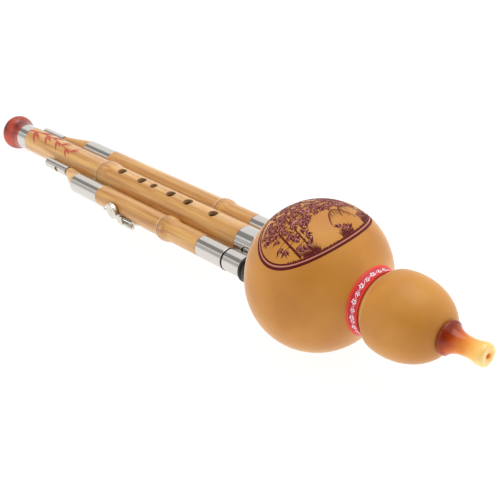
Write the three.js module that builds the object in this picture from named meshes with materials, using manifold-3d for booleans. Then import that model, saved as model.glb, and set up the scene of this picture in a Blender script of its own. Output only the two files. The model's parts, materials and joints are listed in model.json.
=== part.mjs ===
// A gourd flute: a bottle gourd as the wind chest, a bamboo melody pipe and two bamboo drones,
// each pipe plugged into a metal socket with its brass reed inside the gourd.
// Lengths are in millimetres. The pipes are built along X from the bell's mouth, with the
// finger holes on +Z, and the whole instrument then lies tilted on its bell and its big lobe.
import * as THREE from "three";
import { mergeVertices } from "three/addons/utils/BufferGeometryUtils.js";
import Module from "manifold-3d";

const wasm = await Module();
wasm.setup();

// Common sizes
const clearance = 0.3;
const overrun = 1;
const ferruleWall = 0.6;
const jointRingThickness = 0.7;
const jointRingLip = 0.25;

// Melody pipe and its bell
const mainRadius = 8.75;
const mainBore = 6.2;
const mainPipeLength = 256.2;
const mainFerruleLength = 13.4;
const bellFerruleLength = 11;
const mainTenonWall = 0.9;
const mainTenonRadius = 6.9;
const mainTenonDepth = 21;
const mainTenonReach = 15;
const mainNodePlaceShare = 0.411;
const mainNodeRadius = 9.55;
const mainNodeLength = 19;
const mainNodeGroove = 0.45;
const fingerHolePlaceShares = [0.4856, 0.5695, 0.6179, 0.6866, 0.7525, 0.8447];
const fingerHoleRadius = 3;
const smallHoleRadius = 2.35;
const smallHoleNumber = 2;
const thumbHolePlaceShare = 0.8802;
const bellLength = 15.2;
const bellRimRadius = 12.1;
const bellRimRounding = 1.5;
const bellMouthRadius = 9.2;
const bellCupDepth = 10.5;
const bellCupBulge = 0.5;
const bellSpigotLength = 10;

// Drones: each lies beside the melody pipe and a little below its axis
const droneSpread = 16.5;
const droneDrop = 1.9;
const droneRadius = 6.5;
const droneBore = 3.9;
const droneTenonRadius = 4.5;
const droneTenonWall = 0.9;
const droneTenonDepth = 15.7;
const droneTenonReach = 9.6;
const droneNodeRadius = 7.75;
const droneNodeLength = 15;
const droneNodeGroove = 0.4;
const nearPipeLength = 153.7;
const farTipDistance = 5.8;
const nearUpperFerruleLength = 22.2;
const farUpperFerruleLength = 14;
const lowerFerruleLength = 29.5;
const nearNodePlaceShare = 0.663;
const farNodePlaceShare = 0.793;

// Drone ends: a cone leans towards the melody pipe and carries a turning metal sleeve
const nearConeLength = 16;
const farConeLength = 26;
const conePlugLength = 13;
const coneTipRadius = 3.3;
const airwayRadius = 1.5;
const sleeveLength = 25;
const sleeveRadius = 3.4;
const sleeveWall = 0.6;
const sleeveGap = 1.8;
const sleeveEndDistance = 6;
const sleeveHoleRadius = 1.9;
const spigotHoleRadius = 1.3;
const sleeveHolePlace = 14;
const sleeveLean = 4;
const sleeveRise = 1.2;
const spigotHoleTurn = THREE.MathUtils.degToRad(40);

// Sockets in the gourd
const mainSocketLength = 7.5;
const mainSocketWall = 0.8;
const mainStemLength = 15.5;
const droneSocketLength = 13.9;
const droneSocketStep = 1.2;
const droneStemRadius = 4.6;
const droneStemBore = 3.4;
const droneStemLength = 21.3;
const grommetRadius = 7.5;
const grommetLip = 2.5;
const grommetWall = 1;
const grommetDepth = 11;

// Reeds inside the gourd
const mainReedTubeLength = 43;
const droneReedTubeLength = 30;
const reedTubeWall = 1.1;
const reedTubeEnd = 2;
const reedTubeLap = 8;
const reedFlatDepth = 1.2;
const mainReedLength = 26;
const mainReedWidth = 8;
const droneReedLength = 17;
const droneReedWidth = 5;
const reedThickness = 0.5;
const reedMargin = 1.5;
const tongueSlit = 0.3;

// Gourd
const gourdWall = 4;
const bigLobeRadius = 40.3;
const bigLobeHalfLength = 37.4;
const smallLobeRadius = 21.7;
const smallLobeHalfLength = 28.4;
const lobeDistance = 57.6;
const waistDistance = 41.1;
const waistRadius = 16.2;
const bigLobeEndAngle = THREE.MathUtils.degToRad(140);
const smallLobeStartAngle = THREE.MathUtils.degToRad(76);
const neckAngle = THREE.MathUtils.degToRad(159.5);
const neckHoleRadius = 5.1;
const waistHandle = 5;
const lobeHandle = 6;

// Mouthpiece and waist band
const mouthpieceLength = 22.9;
const mouthpieceTenon = 6;
const mouthpieceBore = 2.5;
const flangeRadius = 8.9;
const flangeLength = 4.6;
const throatRadius = 4.8;
const lipRadius = 5.9;
const ribbonWidth = 6.4;
const ribbonThickness = 0.8;
const ribbonShift = 1;

// Key on the near drone: a padded cup on a hinge beside the pipe
const keyFerruleDistance = 21.2;
const keyHoleRadius = 1.8;
const keySeatDepth = 0.5;
const keyCupRadius = 5;
const keyCupThickness = 1.2;
const keyPadThickness = 1.6;
const keySkirtWall = 0.5;
const keySkirtLength = 1;
const knobRadius = 1.4;
const knobNeckWidth = 1.2;
const hingeRadius = 9.5;
const hingeAngle = THREE.MathUtils.degToRad(38);
const knuckleRadius = 1.5;
const knuckleLength = 2;
const barrelLength = 8.6;
const pinRadius = 0.6;
const pinHeadLength = 1;
const saddleWall = 0.8;
const saddleStartAngle = THREE.MathUtils.degToRad(20);
const saddleEndAngle = THREE.MathUtils.degToRad(80);
const armWidth = 3.3;
const armRise = 1.8;
const screwAngle = THREE.MathUtils.degToRad(66);
const screwHeadRadius = 1;
const screwHeadLength = 0.6;
const screwRadius = 0.5;
const screwDepth = 1.6;

// Counts
const gourdSides = 48;
const bellSides = 28;
const pipeSides = 20;
const smallSides = 12;
const lobeSteps = 12;
const filletSteps = 4;
const neckSteps = 7;
const innerLobeSteps = 7;
const innerNeckSteps = 4;
const saddleSteps = 6;
const tiltSteps = 12;

// Places along the axis, from the bell's mouth
const mainPipeStart = bellLength + clearance;
const mainPipeEnd = mainPipeStart + mainPipeLength;
const mainRingStart = mainPipeEnd + clearance;
const mainSocketStart = mainRingStart + jointRingThickness + clearance;
const mainShoulder = mainSocketStart + mainSocketLength;
const bigLobeCentre = mainShoulder + clearance + surfaceRun(bigLobeHalfLength, bigLobeRadius, mainRadius);
const smallLobeCentre = bigLobeCentre + lobeDistance;
const waistPlace = bigLobeCentre + waistDistance;
const grommetStart = bigLobeCentre - grommetLip
  - surfaceRun(bigLobeHalfLength, bigLobeRadius, droneSpread - grommetRadius);
const droneShoulder = grommetStart - clearance;
const droneSocketStart = droneShoulder - droneSocketLength;
const droneRingStart = droneSocketStart - clearance - jointRingThickness;
const dronePipeEnd = droneRingStart - clearance;
const farPipeStart = bellLength + farTipDistance + sleeveLength + sleeveGap + farConeLength + clearance;
const farPipeLength = dronePipeEnd - farPipeStart;
const neckPlace = smallLobeCentre - smallLobeHalfLength * Math.cos(neckAngle);

const bigLobe = { centre: bigLobeCentre, halfLength: bigLobeHalfLength, radius: bigLobeRadius };
const smallLobe = { centre: smallLobeCentre, halfLength: smallLobeHalfLength, radius: smallLobeRadius };

// Finishes
const bamboo = finish(0xd8a766, 0.5, 0);
const gourdSkin = finish(0xc8914f, 0.45, 0);
const redResin = finish(0x8e1f1a, 0.2, 0);
const amberResin = finish(0xd98a2b, 0.2, 0);
const steel = finish(0xc9c9c6, 0.22, 1);
const rubber = finish(0x1b1b1b, 0.7, 0);
const brass = finish(0xc9a24b, 0.3, 1);
const satinRibbon = finish(0xd9202a, 0.6, 0);
const corkBrown = finish(0x4a3527, 0.85, 0);
const leather = finish(0xb98a5a, 0.8, 0);

function finish(color, roughness, metalness) {
  return new THREE.MeshStandardMaterial({ color, roughness, metalness });
}

// Distance from an ellipse's centre, along its axis, to where its outline has the given radius
function surfaceRun(halfLength, radius, atRadius) {
  const share = atRadius / radius;
  return halfLength * Math.sqrt(1 - share * share);
}

// Makes a closed solid of a geometry, with its faces pointing out
function solidOf(geometry) {
  const bare = geometry.index ? geometry : geometry.clone();
  bare.deleteAttribute("normal");
  bare.deleteAttribute("uv");
  const merged = mergeVertices(bare);
  const corners = merged.attributes.position.array;
  const kept = [];
  let volume = 0;
  for (let i = 0; i < merged.index.count; i += 3) {
    const [a, b, c] = [0, 1, 2].map((k) => merged.index.getX(i + k));
    if (a === b || b === c || c === a) continue;
    kept.push([a, b, c]);
    const [p, q, r] = [a, b, c].map((k) => new THREE.Vector3().fromArray(corners, k * 3));
    volume += p.dot(q.cross(r));
  }
  const triangles = kept.flatMap(([a, b, c]) => (volume < 0 ? [a, c, b] : [a, b, c]));
  const mesh = new wasm.Mesh({
    numProp: 3,
    vertProperties: Float32Array.from(corners),
    triVerts: Uint32Array.from(triangles),
  });
  return new wasm.Manifold(mesh);
}

function geometryOf(solid) {
  const mesh = solid.getMesh();
  const geometry = new THREE.BufferGeometry();
  geometry.setAttribute("position", new THREE.BufferAttribute(mesh.vertProperties, 3));
  geometry.setIndex(new THREE.BufferAttribute(mesh.triVerts, 1));
  geometry.computeVertexNormals();
  return geometry;
}

// A body turned about X from an outline of [place, radius] points, with a flat side below, or at
// phase 0 a corner
function turned(outline, sides, phase = Math.PI / sides) {
  const points = outline.map(([place, radius]) => new THREE.Vector2(radius, place));
  const onAxis = points[0].x === 0 && points[points.length - 1].x === 0;
  if (!onAxis) points.push(points[0].clone());
  const geometry = new THREE.LatheGeometry(points, sides, phase);
  geometry.rotateZ(-Math.PI / 2);
  return solidOf(geometry);
}

function rod(start, end, radius, sides) {
  return turned([[start, 0], [start, radius], [end, radius], [end, 0]], sides);
}

function ring(start, end, outer, inner, sides) {
  return turned([[start, inner], [start, outer], [end, outer], [end, inner]], sides);
}

function rodBetween(from, to, radius, sides) {
  const run = new THREE.Vector3().subVectors(to, from);
  const geometry = new THREE.CylinderGeometry(radius, radius, run.length(), sides);
  const up = new THREE.Vector3(0, 1, 0);
  geometry.applyQuaternion(new THREE.Quaternion().setFromUnitVectors(up, run.clone().normalize()));
  const middle = new THREE.Vector3().addVectors(from, to).multiplyScalar(1 / 2);
  geometry.translate(middle.x, middle.y, middle.z);
  return solidOf(geometry);
}

function block(low, high) {
  const size = new THREE.Vector3().subVectors(high, low);
  const geometry = new THREE.BoxGeometry(size.x, size.y, size.z);
  const middle = new THREE.Vector3().addVectors(low, high).multiplyScalar(1 / 2);
  geometry.translate(middle.x, middle.y, middle.z);
  return solidOf(geometry);
}

function at(x, y, z) {
  return new THREE.Vector3(x, y, z);
}

function join(...solids) {
  return solids.reduce((whole, solid) => whole.add(solid));
}

function cut(whole, ...tools) {
  return tools.reduce((left, tool) => left.subtract(tool), whole);
}

const instrument = new THREE.Group();

function addPiece(group, name, solid, material) {
  const mesh = new THREE.Mesh(geometryOf(solid), material);
  mesh.name = name;
  group.add(mesh);
}

// Outline of a bamboo node: the wall swells, dips in a groove and swells again
function nodeOutline(place, radius, nodeRadius, length, groove) {
  const half = length / 2;
  const outlineShares = [[-1, 0], [-0.45, 0.6], [-0.12, 1], [0, 1], [0.12, 1], [0.55, 0.65], [1, 0]];
  return outlineShares.map(([placeShare, riseShare]) => {
    const dip = placeShare === 0 ? groove : 0;
    return [place + placeShare * half, radius + riseShare * (nodeRadius - radius) - dip];
  });
}

// Bell and melody pipe
const mainSeatRadius = mainRadius - ferruleWall - clearance;
const mainFerruleBore = mainRadius - ferruleWall;
const mainCounterbore = mainTenonRadius + clearance;

function bell() {
  const flareShares = [[0.3, 0.86], [0.48, 0.5], [0.66, 0.2], [0.85, 0]];
  const flare = flareShares.map(([placeShare, riseShare]) => [
    placeShare * bellLength,
    mainRadius + riseShare * (bellRimRadius - mainRadius),
  ]);
  const outline = [
    [0, bellMouthRadius],
    [0, bellRimRadius - bellRimRounding],
    [bellRimRounding / 3, bellRimRadius - bellRimRounding / 3],
    [bellRimRounding, bellRimRadius],
    ...flare,
    [bellLength, mainRadius],
    [bellLength, mainTenonRadius],
    [bellLength + bellSpigotLength, mainTenonRadius],
    [bellLength + bellSpigotLength, mainBore],
    [bellCupDepth, mainBore],
    [bellCupDepth / 2, (bellMouthRadius + mainBore) / 2 + bellCupBulge],
  ];
  return turned(outline, bellSides, 0);
}

// Place on the melody pipe: its holes and its node move with its length
function onMainPipe(share) {
  return mainPipeStart + share * mainPipeLength;
}

function mainPipe() {
  const nodePlace = onMainPipe(mainNodePlaceShare);
  const seatEnd = mainPipeStart + bellFerruleLength + clearance;
  const topSeat = mainPipeEnd - mainFerruleLength - clearance;
  const bellCounterbore = bellLength + bellSpigotLength + clearance;
  const tenonCounterbore = mainPipeEnd - mainTenonDepth - clearance;
  const outline = [
    [mainPipeStart, mainCounterbore],
    [mainPipeStart, mainSeatRadius],
    [seatEnd, mainSeatRadius],
    [seatEnd, mainRadius],
    ...nodeOutline(nodePlace, mainRadius, mainNodeRadius, mainNodeLength, mainNodeGroove),
    [topSeat, mainRadius],
    [topSeat, mainSeatRadius],
    [mainPipeEnd, mainSeatRadius],
    [mainPipeEnd, mainCounterbore],
    [tenonCounterbore, mainCounterbore],
    [tenonCounterbore, mainBore],
    [bellCounterbore, mainBore],
    [bellCounterbore, mainCounterbore],
  ];
  const fingerHoles = fingerHolePlaceShares.map((share, number) => {
    const place = onMainPipe(share);
    const radius = number === smallHoleNumber ? smallHoleRadius : fingerHoleRadius;
    return rodBetween(at(place, 0, 0), at(place, 0, mainRadius + overrun), radius, smallSides);
  });
  const thumbPlace = onMainPipe(thumbHolePlaceShare);
  const thumbHole = rodBetween(
    at(thumbPlace, 0, -mainRadius - overrun), at(thumbPlace, 0, 0), fingerHoleRadius, smallSides);
  return cut(turned(outline, pipeSides), ...fingerHoles, thumbHole);
}

function addMelodyPipe(group) {
  const tenonStart = mainPipeEnd - mainTenonDepth;
  const tenonEnd = mainSocketStart + mainTenonReach;
  addPiece(group, "bell", bell(), redResin);
  addPiece(group, "main_bell_ferrule", ring(mainPipeStart, mainPipeStart + bellFerruleLength,
    mainRadius, mainFerruleBore, pipeSides), steel);
  addPiece(group, "main_pipe", mainPipe(), bamboo);
  addPiece(group, "main_top_ferrule", ring(mainPipeEnd - mainFerruleLength, mainPipeEnd,
    mainRadius, mainFerruleBore, pipeSides), steel);
  addPiece(group, "main_tenon", ring(tenonStart, tenonEnd,
    mainTenonRadius, mainTenonRadius - mainTenonWall, pipeSides), steel);
  addPiece(group, "main_joint_ring", ring(mainRingStart, mainRingStart + jointRingThickness,
    mainRadius, mainCounterbore, pipeSides), corkBrown);
}

// Sockets, reed tubes and reeds, fixed in the gourd
const mainStemRadius = mainCounterbore + mainSocketWall;
const droneSocketBore = droneTenonRadius + clearance;

function mainSocket() {
  const outline = [
    [mainSocketStart, mainCounterbore],
    [mainSocketStart, mainRadius],
    [mainShoulder, mainRadius],
    [mainShoulder, mainStemRadius],
    [mainShoulder + mainStemLength, mainStemRadius],
    [mainShoulder + mainStemLength, mainCounterbore],
  ];
  return turned(outline, pipeSides);
}

function droneSocket() {
  const outline = [
    [droneSocketStart, droneSocketBore],
    [droneSocketStart, droneRadius],
    [droneShoulder, droneRadius],
    [droneShoulder, droneStemRadius],
    [droneShoulder + droneStemLength, droneStemRadius],
    [droneShoulder + droneStemLength, droneStemBore],
    [droneShoulder - droneSocketStep, droneStemBore],
    [droneShoulder - droneSocketStep, droneSocketBore],
  ];
  return turned(outline, pipeSides);
}

// A tube closed at its inner end, with a flat and a window on top for the reed
function reedTube(stemEnd, stemRadius, bore, length, reedLength, reedWidth) {
  const start = stemEnd - reedTubeLap;
  const end = start + length;
  const lapRadius = stemRadius + clearance;
  const outer = lapRadius + reedTubeWall;
  const outline = [
    [start, lapRadius],
    [start, outer],
    [end, outer],
    [end, 0],
    [end - reedTubeEnd, 0],
    [end - reedTubeEnd, bore],
    [stemEnd + clearance, bore],
    [stemEnd + clearance, lapRadius],
  ];
  const reedStart = end - reedTubeEnd - reedLength;
  const flatHeight = outer - reedFlatDepth;
  const flat = block(at(reedStart, -outer, flatHeight), at(end + overrun, outer, outer + overrun));
  const windowHalf = reedWidth / 2 - reedMargin;
  const window = block(
    at(reedStart + reedMargin, -windowHalf, 0),
    at(end - reedTubeEnd - reedMargin, windowHalf, flatHeight + overrun));
  return cut(turned(outline, smallSides), flat, window);
}

// A brass plate with a pointed tongue slit free on its two long sides
function reedPlate(stemEnd, stemRadius, length, reedLength, reedWidth) {
  const end = stemEnd - reedTubeLap + length - reedTubeEnd;
  const bottom = stemRadius + clearance + reedTubeWall - reedFlatDepth + clearance;
  const plate = block(
    at(end - reedLength + clearance, -reedWidth / 2, bottom),
    at(end, reedWidth / 2, bottom + reedThickness));
  const slitStart = end - reedLength + reedMargin + clearance;
  const slitEnd = end - reedMargin;
  const slitHalf = reedWidth / 2 - reedMargin;
  const shape = new THREE.Shape();
  shape.moveTo(slitStart, slitHalf);
  shape.lineTo(slitEnd, 0);
  shape.lineTo(slitStart, -slitHalf);
  shape.lineTo(slitStart, -slitHalf + tongueSlit);
  shape.lineTo(slitEnd - tongueSlit * (slitEnd - slitStart) / slitHalf, 0);
  shape.lineTo(slitStart, slitHalf - tongueSlit);
  const slitDepth = reedThickness + 2 * overrun;
  const slit = new THREE.ExtrudeGeometry(shape, { depth: slitDepth, bevelEnabled: false });
  slit.translate(0, 0, bottom - overrun);
  return cut(plate, solidOf(slit));
}

function addMainSocket(group) {
  const stemEnd = mainShoulder + mainStemLength;
  addPiece(group, "main_socket", mainSocket(), steel);
  addPiece(group, "main_reed_tube", reedTube(stemEnd, mainStemRadius, mainBore,
    mainReedTubeLength, mainReedLength, mainReedWidth), bamboo);
  addPiece(group, "main_reed", reedPlate(stemEnd, mainStemRadius,
    mainReedTubeLength, mainReedLength, mainReedWidth), brass);
}

// A rubber collar that fills the space between the socket and the sloping gourd
function grommet(side) {
  const collar = rod(grommetStart, grommetStart + grommetDepth, grommetRadius, pipeSides);
  const gourdBody = turned(gourdOutline(-clearance), gourdSides, 0)
    .translate([0, -side * droneSpread, droneDrop]);
  const sleeve = rod(grommetStart, grommetStart + grommetDepth,
    droneStemRadius + clearance + grommetWall, pipeSides);
  const bore = rod(grommetStart - overrun, grommetStart + grommetDepth + overrun,
    droneStemRadius + clearance, pipeSides);
  return cut(join(cut(collar, gourdBody), sleeve), bore);
}

function addDroneSocket(group, name, side) {
  const stemEnd = droneShoulder + droneStemLength;
  addPiece(group, `${name}_socket`, droneSocket(), steel);
  addPiece(group, `${name}_grommet`, grommet(side), rubber);
  addPiece(group, `${name}_reed_tube`, reedTube(stemEnd, droneStemRadius, droneStemBore,
    droneReedTubeLength, droneReedLength, droneReedWidth), bamboo);
  addPiece(group, `${name}_reed`, reedPlate(stemEnd, droneStemRadius,
    droneReedTubeLength, droneReedLength, droneReedWidth), brass);
}

// Gourd, waist band and mouthpiece
function lobePoint(lobe, angle, wall) {
  return [
    lobe.centre - (lobe.halfLength - wall) * Math.cos(angle),
    (lobe.radius - wall) * Math.sin(angle),
  ];
}

function lobeDirection(lobe, angle, wall) {
  const along = (lobe.halfLength - wall) * Math.sin(angle);
  const out = (lobe.radius - wall) * Math.cos(angle);
  return new THREE.Vector2(along, out).normalize();
}

function filletPoints(from, fromDirection, fromHandle, to, toDirection, toHandle) {
  const start = new THREE.Vector2(...from);
  const end = new THREE.Vector2(...to);
  const leave = start.clone().addScaledVector(fromDirection, fromHandle);
  const arrive = end.clone().addScaledVector(toDirection, -toHandle);
  const curve = new THREE.CubicBezierCurve(start, leave, arrive, end);
  return curve.getPoints(filletSteps).slice(1, -1).map((point) => [point.x, point.y]);
}

function arcPoints(lobe, fromAngle, toAngle, steps, wall) {
  const points = [];
  for (let i = 0; i <= steps; i += 1) {
    points.push(lobePoint(lobe, fromAngle + (toAngle - fromAngle) * i / steps, wall));
  }
  return points;
}

// The gourd's outline from the pipe end to the neck, its skin moved inwards by a wall
function gourdSide(wall, endAngle, bigSteps, smallSteps) {
  const waist = [waistPlace, waistRadius - wall];
  const level = new THREE.Vector2(1, 0);
  const big = arcPoints(bigLobe, 0, bigLobeEndAngle, bigSteps, wall);
  const small = arcPoints(smallLobe, smallLobeStartAngle, endAngle, smallSteps, wall);
  const bigEnd = lobeDirection(bigLobe, bigLobeEndAngle, wall);
  const smallStart = lobeDirection(smallLobe, smallLobeStartAngle, wall);
  big[0][1] = 0;
  return [
    ...big,
    ...filletPoints(big[big.length - 1], bigEnd, lobeHandle, waist, level, waistHandle),
    waist,
    ...filletPoints(waist, level, waistHandle, small[0], smallStart, waistHandle),
    ...small,
  ];
}

function gourdOutline(wall) {
  return [...gourdSide(wall, neckAngle, lobeSteps, neckSteps), [neckPlace, 0]];
}

function gourdShell() {
  const innerEndAngle = Math.PI - Math.asin(neckHoleRadius / (smallLobeRadius - gourdWall));
  const inner = gourdSide(gourdWall, innerEndAngle, innerLobeSteps, innerNeckSteps).reverse();
  const neckHoleEnd = inner[0][0];
  const outline = [
    ...gourdSide(0, neckAngle, lobeSteps, neckSteps),
    [neckPlace, neckHoleRadius],
    [neckHoleEnd, neckHoleRadius],
    ...inner.slice(1),
  ];
  const holeStart = grommetStart - overrun;
  const holeEnd = bigLobeCentre;
  const mainHole = rod(holeStart, holeEnd, mainStemRadius + clearance, pipeSides);
  const droneHoles = [-1, 1].map((side) => {
    const hole = rod(holeStart, holeEnd, droneStemRadius + 2 * clearance + grommetWall, pipeSides);
    return hole.translate([0, side * droneSpread, -droneDrop]);
  });
  return cut(turned(outline, gourdSides, 0), mainHole, ...droneHoles);
}

function mouthpiece() {
  const start = neckPlace + clearance;
  const beadRadius = flangeLength / 2;
  const tip = start + mouthpieceLength;
  const throatShares = [[0.3, 0.35], [0.42, 0.08], [0.58, 0]];
  const throat = throatShares.map(([placeShare, riseShare]) => [
    start + placeShare * mouthpieceLength,
    throatRadius + riseShare * (flangeRadius - throatRadius),
  ]);
  const lipShares = [[0.78, 0.35], [0.9, 0.85], [0.96, 1], [0.99, 0.75]];
  const lip = lipShares.map(([placeShare, riseShare]) => [
    start + placeShare * mouthpieceLength,
    throatRadius + riseShare * (lipRadius - throatRadius),
  ]);
  const outline = [
    [start - clearance - mouthpieceTenon, mouthpieceBore],
    [start - clearance - mouthpieceTenon, neckHoleRadius - clearance],
    [start, neckHoleRadius - clearance],
    [start, flangeRadius - beadRadius / 2],
    [start + beadRadius / 2, flangeRadius],
    [start + flangeLength - beadRadius / 2, flangeRadius],
    [start + flangeLength, flangeRadius - beadRadius / 2],
    ...throat,
    ...lip,
    [tip, throatRadius],
    [tip, mouthpieceBore],
  ];
  return turned(outline, pipeSides);
}

// A woven band that follows the waist, one clearance off the skin
function waistRibbon() {
  const start = waistPlace - ribbonShift - ribbonWidth / 2;
  const end = start + ribbonWidth;
  const tube = ring(start, end, bigLobeRadius, waistRadius / 2, gourdSides);
  const outer = turned(gourdOutline(-clearance - ribbonThickness), gourdSides, 0);
  const inner = turned(gourdOutline(-clearance), gourdSides, 0);
  return cut(tube.intersect(outer), inner);
}

function addGourd(group) {
  addPiece(group, "gourd_shell", gourdShell(), gourdSkin);
  addPiece(group, "waist_ribbon", waistRibbon(), satinRibbon);
  addPiece(group, "mouthpiece", mouthpiece(), amberResin);
}

// Drones
const droneSeatRadius = droneRadius - ferruleWall - clearance;
const droneFerruleBore = droneRadius - ferruleWall;
const keyPlace = dronePipeEnd - nearPipeLength + lowerFerruleLength + keyFerruleDistance;

function dronePipe(drone) {
  const start = dronePipeEnd - drone.pipeLength;
  const lowerEnd = start + lowerFerruleLength;
  const lowerSeat = lowerEnd + clearance;
  const upperStart = dronePipeEnd - drone.upperFerruleLength;
  const upperSeat = upperStart - clearance;
  const nodePlace = lowerEnd + drone.nodePlaceShare * (upperStart - lowerEnd);
  const plugCounterbore = start + conePlugLength + clearance;
  const tenonCounterbore = dronePipeEnd - droneTenonDepth - clearance;
  const outline = [
    [start, droneSocketBore],
    [start, droneSeatRadius],
    [lowerSeat, droneSeatRadius],
    [lowerSeat, droneRadius],
    ...nodeOutline(nodePlace, droneRadius, droneNodeRadius, droneNodeLength, droneNodeGroove),
    [upperSeat, droneRadius],
    [upperSeat, droneSeatRadius],
    [dronePipeEnd, droneSeatRadius],
    [dronePipeEnd, droneSocketBore],
    [tenonCounterbore, droneSocketBore],
    [tenonCounterbore, droneBore],
    [plugCounterbore, droneBore],
    [plugCounterbore, droneSocketBore],
  ];
  return turned(outline, pipeSides);
}

// Place of the sleeve's axis beside its drone's axis, leaning towards the melody pipe
function sleeveCentre(drone, place) {
  return at(place, -drone.side * sleeveLean, sleeveRise);
}

function moved(solid, offset) {
  return solid.translate([0, offset.y, offset.z]);
}

// Radial direction of the sleeve's side hole, on the outer side of the instrument
function sleeveHoleDirection(drone, turn) {
  return at(0, drone.side * Math.cos(turn), Math.sin(turn));
}

function endCone(drone) {
  const base = dronePipeEnd - drone.pipeLength - clearance;
  const tip = base - drone.coneLength;
  const offset = sleeveCentre(drone, 0);
  const spigotRadius = sleeveRadius - sleeveWall - clearance;
  const sleeveStart = tip - sleeveGap - sleeveLength;
  const spigotStart = sleeveStart + sleeveEndDistance;
  const body = new THREE.CylinderGeometry(coneTipRadius, droneFerruleBore, drone.coneLength, pipeSides);
  body.rotateZ(Math.PI / 2);
  const corners = body.attributes.position;
  for (let i = 0; i < corners.count; i += 1) {
    const share = 1 / 2 - corners.getX(i) / drone.coneLength;
    corners.setY(i, corners.getY(i) + share * offset.y);
    corners.setZ(i, corners.getZ(i) + share * offset.z);
  }
  body.translate(base - drone.coneLength / 2, 0, 0);
  const plug = rod(base - clearance, base + clearance + conePlugLength, droneTenonRadius, pipeSides);
  const spigot = moved(rod(spigotStart, tip + clearance, spigotRadius, smallSides), offset);
  const airway = rodBetween(
    at(base + conePlugLength + overrun, 0, 0), sleeveCentre(drone, tip), airwayRadius, smallSides);
  const spigotBore = moved(
    rod(spigotStart - overrun, tip + airwayRadius, airwayRadius, smallSides), offset);
  const centre = sleeveCentre(drone, sleeveStart + sleeveHolePlace);
  const away = sleeveHoleDirection(drone, spigotHoleTurn).multiplyScalar(sleeveRadius + overrun);
  const sideHole = rodBetween(centre, centre.clone().add(away), spigotHoleRadius, smallSides);
  return cut(join(solidOf(body), plug, spigot), airway, spigotBore, sideHole);
}

function tipSleeve(drone) {
  const end = dronePipeEnd - drone.pipeLength - clearance - drone.coneLength - sleeveGap;
  const start = end - sleeveLength;
  const offset = sleeveCentre(drone, 0);
  const tube = moved(ring(start, end, sleeveRadius, sleeveRadius - sleeveWall, smallSides), offset);
  const centre = sleeveCentre(drone, start + sleeveHolePlace);
  const away = sleeveHoleDirection(drone, 0).multiplyScalar(sleeveRadius + overrun);
  return cut(tube, rodBetween(centre, centre.clone().add(away), sleeveHoleRadius, smallSides));
}

function addDrone(group, drone) {
  const start = dronePipeEnd - drone.pipeLength;
  const name = drone.name;
  const pipe = drone.keyed ? keyedPipe(dronePipe(drone)) : dronePipe(drone);
  addPiece(group, `${name}_pipe`, pipe, bamboo);
  addPiece(group, `${name}_upper_ferrule`, ring(dronePipeEnd - drone.upperFerruleLength, dronePipeEnd,
    droneRadius, droneFerruleBore, pipeSides), steel);
  addPiece(group, `${name}_lower_ferrule`, ring(start, start + lowerFerruleLength,
    droneRadius, droneFerruleBore, pipeSides), steel);
  addPiece(group, `${name}_tenon`, ring(dronePipeEnd - droneTenonDepth, droneSocketStart + droneTenonReach,
    droneTenonRadius, droneTenonRadius - droneTenonWall, pipeSides), steel);
  addPiece(group, `${name}_joint_ring`, ring(droneRingStart, droneRingStart + jointRingThickness,
    droneRadius + jointRingLip, droneSocketBore, pipeSides), corkBrown);
  addPiece(group, `${name}_end_cone`, endCone(drone), bamboo);
  addPiece(group, `${name}_tip_sleeve`, tipSleeve(drone), steel);
}

// Key: the cup faces away from the melody pipe, and its hinge lies lower on the same side
const seatPlane = droneRadius - keySeatDepth;
const padInner = seatPlane + clearance;
const cupInner = padInner + keyPadThickness + clearance;
const cupOuter = cupInner + keyCupThickness;
const padRadius = keyCupRadius - keySkirtWall - clearance;
const saddleStart = keyPlace + keyCupRadius + clearance;
const barrelStart = saddleStart + knuckleLength + clearance;
const barrelEnd = barrelStart + barrelLength;
const saddleEnd = barrelEnd + clearance + knuckleLength;
const pinHole = pinRadius + clearance;
const hingeY = -hingeRadius * Math.cos(hingeAngle);
const hingeZ = -hingeRadius * Math.sin(hingeAngle);

function keySide(place, distance, angle) {
  return at(place, -distance * Math.cos(angle), -distance * Math.sin(angle));
}

function screwPlaces() {
  return [1, 3].map((quarter) => saddleStart + (saddleEnd - saddleStart) * quarter / 4);
}

function keyedPipe(pipe) {
  const reach = keyCupRadius + clearance;
  const seat = block(
    at(keyPlace - reach, -droneRadius - overrun, -droneRadius),
    at(keyPlace + reach, -seatPlane, droneRadius));
  const hole = rodBetween(
    at(keyPlace, -droneRadius - overrun, 0), at(keyPlace, 0, 0), keyHoleRadius, smallSides);
  const screwHoles = screwPlaces().map((place) => rodBetween(
    keySide(place, droneRadius - screwDepth - clearance, screwAngle),
    keySide(place, droneRadius + overrun, screwAngle), screwRadius + clearance, smallSides));
  return cut(pipe, seat, hole, ...screwHoles);
}

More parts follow.
